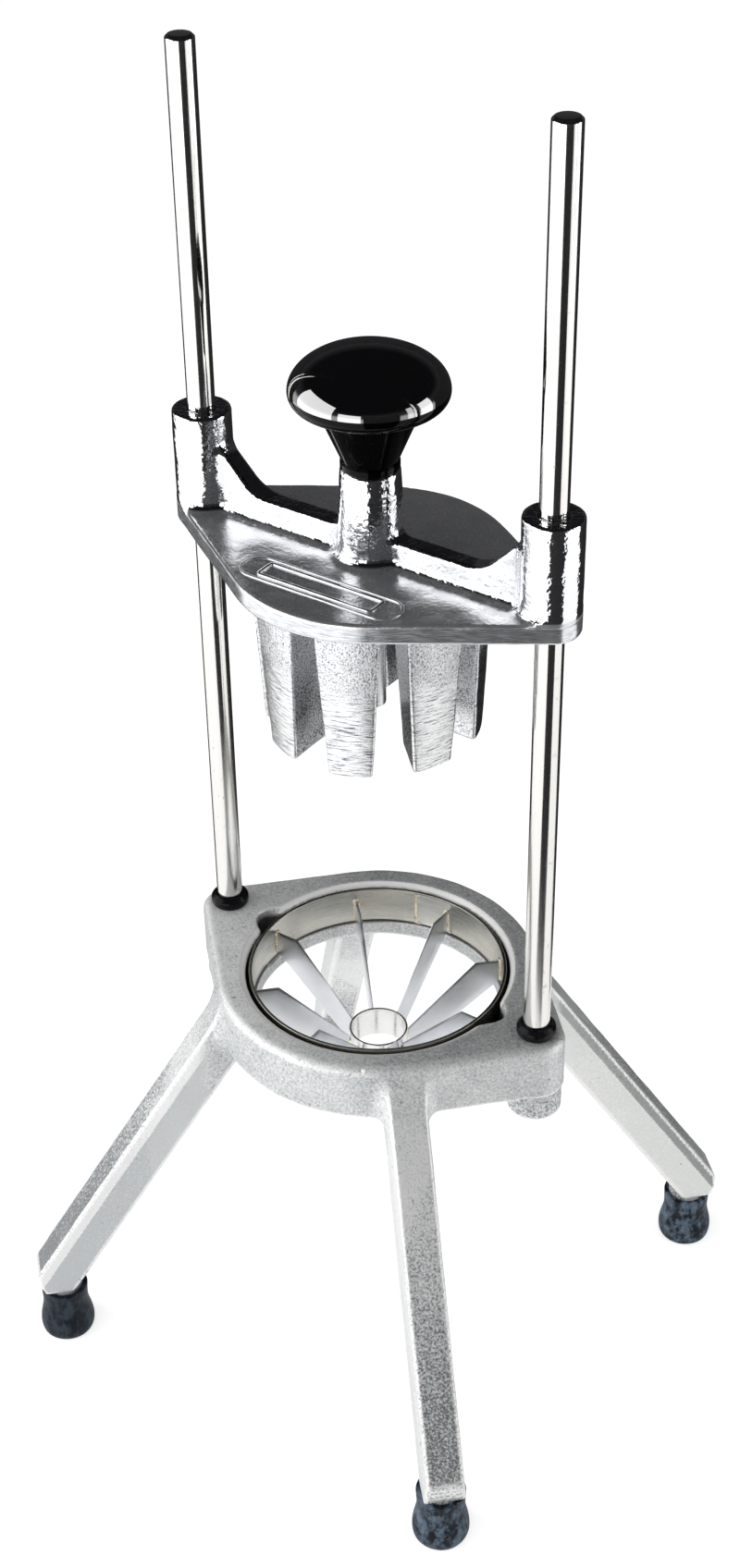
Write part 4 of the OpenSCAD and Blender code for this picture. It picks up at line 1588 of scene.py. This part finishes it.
@dataclass
class PushHead:
    """Bright casting that slides on the rods: plate, bosses, rib, eight fingers and a pin in the middle."""

    # Plate with its lobes
    low: float = HEAD_LOW
    plate_r: float = 47.5
    plate_t: float = 7.1
    plate_edge: float = 1.3
    plate_fillet: float = 3.4
    lobe_r: float = 10.15
    ripple: float = 0.09
    flat_top: float = 1.5
    # Bosses on the rods; all that stands on the plate starts at the root
    rod_x: float = ROD_X
    bore_r: float = 4.8425
    bore_edge: float = 0.35
    boss_r: float = 10.05
    boss_h: float = 41.0
    boss_edge: float = 1.0
    boss_fillet: float = 2.5
    root: float = 3.7
    # Rib and its slopes
    rib_w: float = 8.0
    rib_h: float = 8.5
    rib_edge: float = 1.6
    ramp_run: float = 13.5
    ramp_rise: float = 14.0
    ramp_fillet: float = 4.0
    ramp_edge: float = 1.0
    # Middle boss and the stud's hole
    mid_h: float = 38.6
    mid_top_r: float = 9.9
    mid_foot_r: float = 11.7
    mid_edge: float = 1.3
    mid_fillet: float = 3.0
    stud_r: float = 3.99
    stud_deep: float = 18.0
    hole_edge: float = 0.3
    # Fingers
    count: int = 8
    finger_l: float = 57.8
    finger_top_r: float = 40.0
    finger_tip_r: float = 37.1
    slot_top_w: float = 8.0
    slot_tip_w: float = 13.6
    finger_up: float = 2.0
    finger_edge: float = 1.1
    finger_fillet: float = 1.6
    nose_back: float = 1.4
    nose_edge: float = 0.7
    tip_edge: float = 0.9
    # Pin between the fingers
    pin_r: float = 4.3
    pin_l: float = 51.4
    pin_gap: float = 0.1
    shank_r: float = 3.02
    shank_l: float = 10.0
    shank_gap: float = 0.02
    # Blank panel on the plate
    panel_l: float = 62.0
    panel_w: float = 13.6
    panel_y: float = 28.6
    border_w: float = 1.1
    border_h: float = 0.5
    label_l: float = 46.0
    label_w: float = 9.4
    label_corner: float = 1.2
    label_border_w: float = 1.6
    label_border_h: float = 0.75

    def fingers(self, p: np.ndarray) -> np.ndarray:
        """Eight wedges round the middle, by their symmetry.

        Args:
            p: Points in millimetres.

        Returns:
            Distances, negative inside.
        """
        x, y, z = p.T
        r = np.hypot(x, y)
        share = np.clip((self.low - z) / self.finger_l, -0.1, 1.1)
        slant = (self.finger_top_r - self.finger_tip_r) / self.finger_l
        cone = (r - self.finger_top_r + slant * self.finger_l * share) / math.hypot(1, slant)
        pitch = 2 * math.pi / self.count
        off = np.abs((np.arctan2(y, x) + pitch / 2) % pitch - pitch / 2)
        half = (self.slot_top_w + (self.slot_tip_w - self.slot_top_w) * share) / 2
        wedge = trimmed(cone, half - r * np.sin(off), self.finger_edge)
        nose = half / math.sin(pitch / 2) + self.nose_back - r * np.cos(pitch / 2 - off)
        wedge = trimmed(wedge, nose, self.nose_edge)
        ends = np.maximum(self.low - self.finger_l - z, z - self.low - self.finger_up)
        return trimmed(wedge, ends, self.tip_edge)

    def rib(self, p: np.ndarray) -> np.ndarray:
        """Rib between the bosses with a curved slope up to each.

        Args:
            p: Points in millimetres.

        Returns:
            Distances, negative inside.
        """
        x, z = np.abs(p[:, 0]), p[:, 2]
        base = self.low + self.plate_t + self.rib_h
        start = self.rod_x - self.boss_r - self.ramp_run
        tilt = self.ramp_rise / self.ramp_run
        ramp = (z - base - tilt * (x - start)) / math.hypot(1, tilt)
        over = trimmed(joined(z - base, ramp, self.ramp_fillet), z - base - self.ramp_rise, self.ramp_edge)
        bar = trimmed(np.abs(p[:, 1]) - self.rib_w / 2, over, self.rib_edge)
        return np.maximum(bar, np.maximum(self.low + self.root - z, x - self.rod_x))

    def field(self, p: np.ndarray) -> np.ndarray:
        """The whole casting.

        Args:
            p: Points in millimetres.

        Returns:
            Distances, negative inside.
        """
        x, y, z = np.abs(p[:, 0]), p[:, 1], p[:, 2]
        r, rod = np.hypot(x, y), np.hypot(x - self.rod_x, y)
        plan = eye_outline(p[:, 0], y, self.plate_r, self.lobe_r, self.rod_x)
        plate = trimmed(plan, z - self.low - self.plate_t, self.plate_edge)
        plate = trimmed(plate, self.low - z, self.plate_edge)
        start = self.low + self.root - z
        boss = trimmed(rod - self.boss_r, np.maximum(start, z - self.low - self.boss_h), self.boss_edge)
        slant = (self.mid_foot_r - self.mid_top_r) / self.mid_h
        ends = np.maximum(start, z - self.low - self.mid_h)
        middle = trimmed(r - self.mid_foot_r + slant * (z - self.low), ends, self.mid_edge)
        top = joined(joined(self.rib(p), boss, self.boss_fillet), middle, self.mid_fillet)
        body = np.maximum(joined(plate, top, self.plate_fillet), plan)
        body = joined(body, self.fingers(p), self.finger_fillet)
        fade = np.clip((self.low + self.mid_h - self.flat_top - z) / (2 * self.flat_top), 0, 1)
        body = body - unevenness(p, self.ripple) * fade
        body = trimmed(body, self.bore_r - rod, self.bore_edge)
        stud = np.maximum(r - self.stud_r, self.low + self.mid_h - self.stud_deep - z)
        shank = np.maximum(r - self.shank_r, z - self.low - self.shank_l)
        return trimmed(trimmed(body, -stud, self.hole_edge), -shank, self.hole_edge)

    def panel(self) -> MeshData:
        """Raised border of the panel on the plate and the blank frame inside it.

        Returns:
            Both borders as one mesh.
        """
        top, up = self.low + self.plate_t, np.array([0, 0, 1.0])
        made = None
        borders = ((self.panel_l, self.panel_w, self.panel_w / 2 - 0.6, self.border_w, self.border_h),
                   (self.label_l, self.label_w, self.label_corner, self.label_border_w, self.label_border_h))
        for length, width, corner, wide, high in borders:
            path, out = rounded_path(length - wide, width - wide, corner)
            half = wide / 2
            rise = [(half, high * 0.35), (half * 0.72, high * 0.8), (half * 0.3, high)]
            section = [(-half, -0.4), (half, -0.4)] + rise + [(-x, z) for x, z in reversed(rise)]
            band = swept(path, out, up, section).moved(0, -self.panel_y, top)
            made = band if made is None else made + band
        return made

    def build(self) -> None:
        """Skins, lathes and dresses the head."""
        low, high = (np.array(c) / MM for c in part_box("head_casting"))
        data = SkinMaker(step=0.9).skin(self.field, low, high)
        make_piece("head_casting_skin", data, Finishes.HEAD.value, Body.HEAD,
                   ["head_casting"])
        make_piece("head_panel", self.panel(), Finishes.HEAD.value, Body.HEAD)
        tip, step, top = self.low - self.pin_l, self.low - self.pin_gap, self.low + self.shank_l
        shank = self.shank_r - self.shank_gap
        line = [(0, tip, 0), (self.pin_r, tip, 0.9), (self.pin_r, step, 0.2),
                (shank, step, 0), (shank, top, 0), (0, top, 0)]
        pin = lathe(rounded(line), 64)
        make_piece("core_pin_turned", pin, Finishes.PIN.value, Body.HEAD, ["core_pin"])


@dataclass
class Knob:
    """Mushroom knob on a conical neck, moulded over a threaded insert."""

    seat: float = 367.0
    flange_r: float = 9.8
    flange_h: float = 2.3
    neck_r: float = 9.2
    throat_r: float = 16.9
    throat_z: float = 20.5
    rim_r: float = 26.0
    rim_z: float = 26.5
    lip: float = 4.6
    split: float = 3.2
    lap: float = 0.5
    dome: float = 13.8
    bore_r: float = 6.2
    bore_l: float = 15.0

    def dome_line(self, start: float, stop: float, steps: int) -> Line:
        """Points over the dome.

        Args:
            start: First angle above the rim, in degrees.
            stop: Last angle.
            steps: Number of points.

        Returns:
            The points, as radius and height over the seat.
        """
        turns = np.radians(np.linspace(start, stop, steps))
        return [(self.rim_r * math.cos(a), self.rim_z + self.dome * math.sin(a)) for a in turns]

    def neck(self) -> Line:
        """Profile from the bore round the flange, up the neck, under the brim and round its lip.

        Returns:
            Points as radius and height over the seat.
        """
        corners = [(self.bore_r, self.bore_l, 0), (self.bore_r, 0, 0.15), (self.flange_r, 0.0, 0.3),
                   (self.flange_r, self.flange_h, 0.25), (self.neck_r, self.flange_h, 0.2),
                   (self.throat_r, self.throat_z, 0)]
        lip = [(self.rim_r - self.lip * (1 - math.cos(a)), self.rim_z - self.lip * math.sin(a))
               for a in np.radians(np.linspace(85, 5, 14))]
        rim = self.dome_line(0, self.split, 4)
        inside = rim[-1][1] + self.lap
        close = [(self.rim_r - 2 * self.lap, inside), (0, inside)]
        return [(0, self.bore_l)] + rounded(corners, 8) + lip + rim + close

    def cap(self) -> Line:
        """Profile of the cap over the dome.

        Returns:
            Points as radius and height over the seat.
        """
        dome = self.dome_line(self.split, 90, 36)[:-1]
        under = dome[0][1] - self.lap
        return [(0, under), (self.rim_r - 2 * self.lap, under)] + dome + [(0, self.rim_z + self.dome)]

    def build(self) -> None:
        """Lathes and dresses the neck and the cap."""
        pieces = (("knob_neck", self.neck(), Finishes.NECK, []),
                  ("knob_cap", self.cap(), Finishes.KNOB, ["knob"]))
        for name, line, finish, nodes in pieces:
            raised = [(r, self.seat + z) for r, z in line]
            make_piece(name, lathe(raised, 192), finish.value, Body.HEAD, nodes)


@dataclass
class KeptNodes:
    """CAD pieces whose shape is right as it is, with their finishes."""

    finishes: tuple[tuple[str, Finishes], ...] = (
        ("ring_screws", Finishes.SCREW), ("knob_stud", Finishes.STUD), ("knob_insert", Finishes.BRASS))

    def build(self) -> None:
        """Dresses the nodes in place."""
        for name, finish in self.finishes:
            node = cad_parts[name]
            node.data.materials.clear()
            node.data.materials.append(finish.value.material())
            LOG.info("%s: kept as packed", name)


# Studio


@dataclass
class Photographer:
    """The camera, where the photograph was taken from."""

    place: tuple[float, float, float] = (392.76, -556.29, 714.31)
    azimuth: float = 35.369
    elevation: float = 34.691
    roll: float = -0.929
    focal_px: float = 2561.39
    long_side_px: float = 1696
    sensor: float = 36.0

    def build(self) -> None:
        """Makes the camera and gives it to the scene."""
        a, e, t = (math.radians(v) for v in (self.azimuth, self.elevation, self.roll))
        back = Vector((math.sin(a) * math.cos(e), -math.cos(a) * math.cos(e), math.sin(e)))
        right = Vector((math.cos(a), math.sin(a), 0))
        up = back.cross(right)
        level, tilt = right * math.cos(t) + up * math.sin(t), up * math.cos(t) - right * math.sin(t)
        data = bpy.data.cameras.new("camera")
        data.sensor_width = self.sensor
        data.lens = self.focal_px * self.sensor / self.long_side_px
        camera = bpy.data.objects.new("camera", data)
        turn = Matrix((level, tilt, back)).transposed().to_4x4()
        camera.matrix_world = Matrix.Translation(Vector(self.place) * MM) @ turn
        bpy.context.scene.collection.objects.link(camera)
        bpy.context.scene.camera = camera


@dataclass(frozen=True)
class Panel:
    """A soft light panel, in degrees from the front and metres."""

    azimuth: float
    distance: float
    width: float
    height: float
    middle: float
    radiance: float


@dataclass
class Studio:
    """White floor, soft panels round the object and dark flags that only reflections see."""

    panels: tuple[Panel, ...] = (
        Panel(-47, 1.35, 1.6, 1.40, 0.72, 2.05),
        Panel(8, 1.35, 0.75, 0.78, 0.42, 2.2),
        Panel(118, 1.35, 0.5, 1.0, 0.52, 2.2),
        Panel(92, 1.35, 0.22, 1.0, 0.52, 1.4),
    )
    room: tuple[tuple[float, Colour], ...] = (
        (0.0, (0.8, 0.8, 0.8)), (0.14, (0.06, 0.06, 0.065)), (0.45, (0.007, 0.007, 0.008)))
    flags: tuple[tuple[float, float], ...] = ((27, 76), (133, 270))
    flag_near: float = 0.25
    flag_far: float = 1.2
    flag_top: float = 0.7
    flag_lift: float = 0.0006
    floor_half: float = 12.0
    ambient: float = 0.45
    floor_glow: float = 0.58
    floor_mirrored: float = 0.42

    def floor(self) -> None:
        """Pale floor that reads as white to the camera and in reflections, and keeps the shadow."""
        half = self.floor_half
        mesh = bpy.data.meshes.new("floor")
        corners = [(-half, -half, 0), (half, -half, 0), (half, half, 0), (-half, half, 0)]
        mesh.from_pydata(corners, [], [(0, 1, 2, 3)])
        material = bpy.data.materials.new("floor_paper")
        material.use_nodes = True
        sketch = NodeSketch(material.node_tree)
        seen, mirrored = sketch.rays()
        strength = seen * self.floor_glow | mirrored * self.floor_mirrored
        plain = sketch.read("ShaderNodeBsdfDiffuse", 0, {"Color": (0.86, 0.86, 0.86, 1)})
        glow = sketch.read("ShaderNodeEmission", 0, {"Color": (1, 1, 1, 1), "Strength": strength})
        shown = sketch.read("ShaderNodeAddShader", 0, {0: plain, 1: glow})
        sketch.add("ShaderNodeOutputMaterial", {"Surface": shown})
        mesh.materials.append(material)
        floor = bpy.data.objects.new("floor", mesh)
        bpy.context.scene.collection.objects.link(floor)

    def world(self) -> None:
        """White to the camera, dark overhead in reflections, even and grey as light."""
        world = bpy.data.worlds.new("studio")
        world.use_nodes = True
        sketch = NodeSketch(world.node_tree)
        seen, mirrored = sketch.rays()
        way = sketch.read("ShaderNodeTexCoord", "Generated")
        height = sketch.read("ShaderNodeSeparateXYZ", "Z", {0: way})
        colour = sketch.mix(mirrored, (self.ambient,) * 3, sketch.ramp(height, self.room))
        colour = sketch.mix(seen, colour, (1.0, 1.0, 1.0))
        light = sketch.read("ShaderNodeBackground", 0, {"Color": colour, "Strength": 1.0})
        sketch.add("ShaderNodeOutputWorld", {"Surface": light})
        bpy.context.scene.world = world

    def lamps(self) -> None:
        """Soft panels that face the object, at the azimuths where the knob shows them."""
        for k, panel in enumerate(self.panels):
            a = math.radians(panel.azimuth)
            data = bpy.data.lights.new(f"panel_{k + 1}", "AREA")
            data.shape, data.size, data.size_y = "RECTANGLE", panel.width, panel.height
            data.energy = panel.radiance * math.pi * panel.width * panel.height
            lamp = bpy.data.objects.new(data.name, data)
            out = Vector((math.sin(a), -math.cos(a), 0))
            lamp.location = out * panel.distance + Vector((0, 0, panel.middle))
            lamp.rotation_euler = out.to_track_quat("Z", "Y").to_euler()
            lamp.visible_camera = False
            bpy.context.scene.collection.objects.link(lamp)

    def dark_flags(self) -> None:
        """Upright dark cards, seen by mirror rays alone."""
        material = bpy.data.materials.new("dark_card")
        material.use_nodes = True
        sketch = NodeSketch(material.node_tree)
        sketch.surface({"Base Color": (0.02, 0.02, 0.022, 1), "Roughness": 0.9})
        rings = ((self.flag_near, self.flag_lift), (self.flag_far, self.flag_lift),
                 (self.flag_far, self.flag_top))
        for k, (start, stop) in enumerate(self.flags):
            turns = np.radians(np.linspace(start, stop, 25))
            points = [(r * math.sin(a), -r * math.cos(a), z) for r, z in rings for a in turns]
            n = len(turns)
            faces = [(j * n + i, j * n + i + 1, j * n + n + i + 1, j * n + n + i)
                     for j in (0, 1) for i in range(n - 1)]
            mesh = bpy.data.meshes.new(f"flag_{k + 1}")
            mesh.from_pydata(points, [], faces)
            mesh.materials.append(material)
            flag = bpy.data.objects.new(mesh.name, mesh)
            bpy.context.scene.collection.objects.link(flag)
            flag.visible_camera = flag.visible_diffuse = False
            flag.visible_shadow = flag.visible_transmission = False

    def build(self) -> None:
        """Sets up the floor, the world, the lamps and the flags."""
        bpy.context.scene.view_settings.view_transform = "Standard"
        self.floor()
        self.world()
        self.lamps()
        self.dark_flags()


def main() -> None:
    """Builds the studio and every sub-assembly."""
    logging.basicConfig(level=logging.INFO, format="%(name)s: %(message)s")
    Photographer().build()
    Studio().build()
    for part in (BaseCasting(), GuideRods(), RubberFeet(), BladeSet(), PushHead(), Knob(), KeptNodes()):
        part.build()
    bpy.context.view_layer.update()


if __name__ == "__main__":
    main()
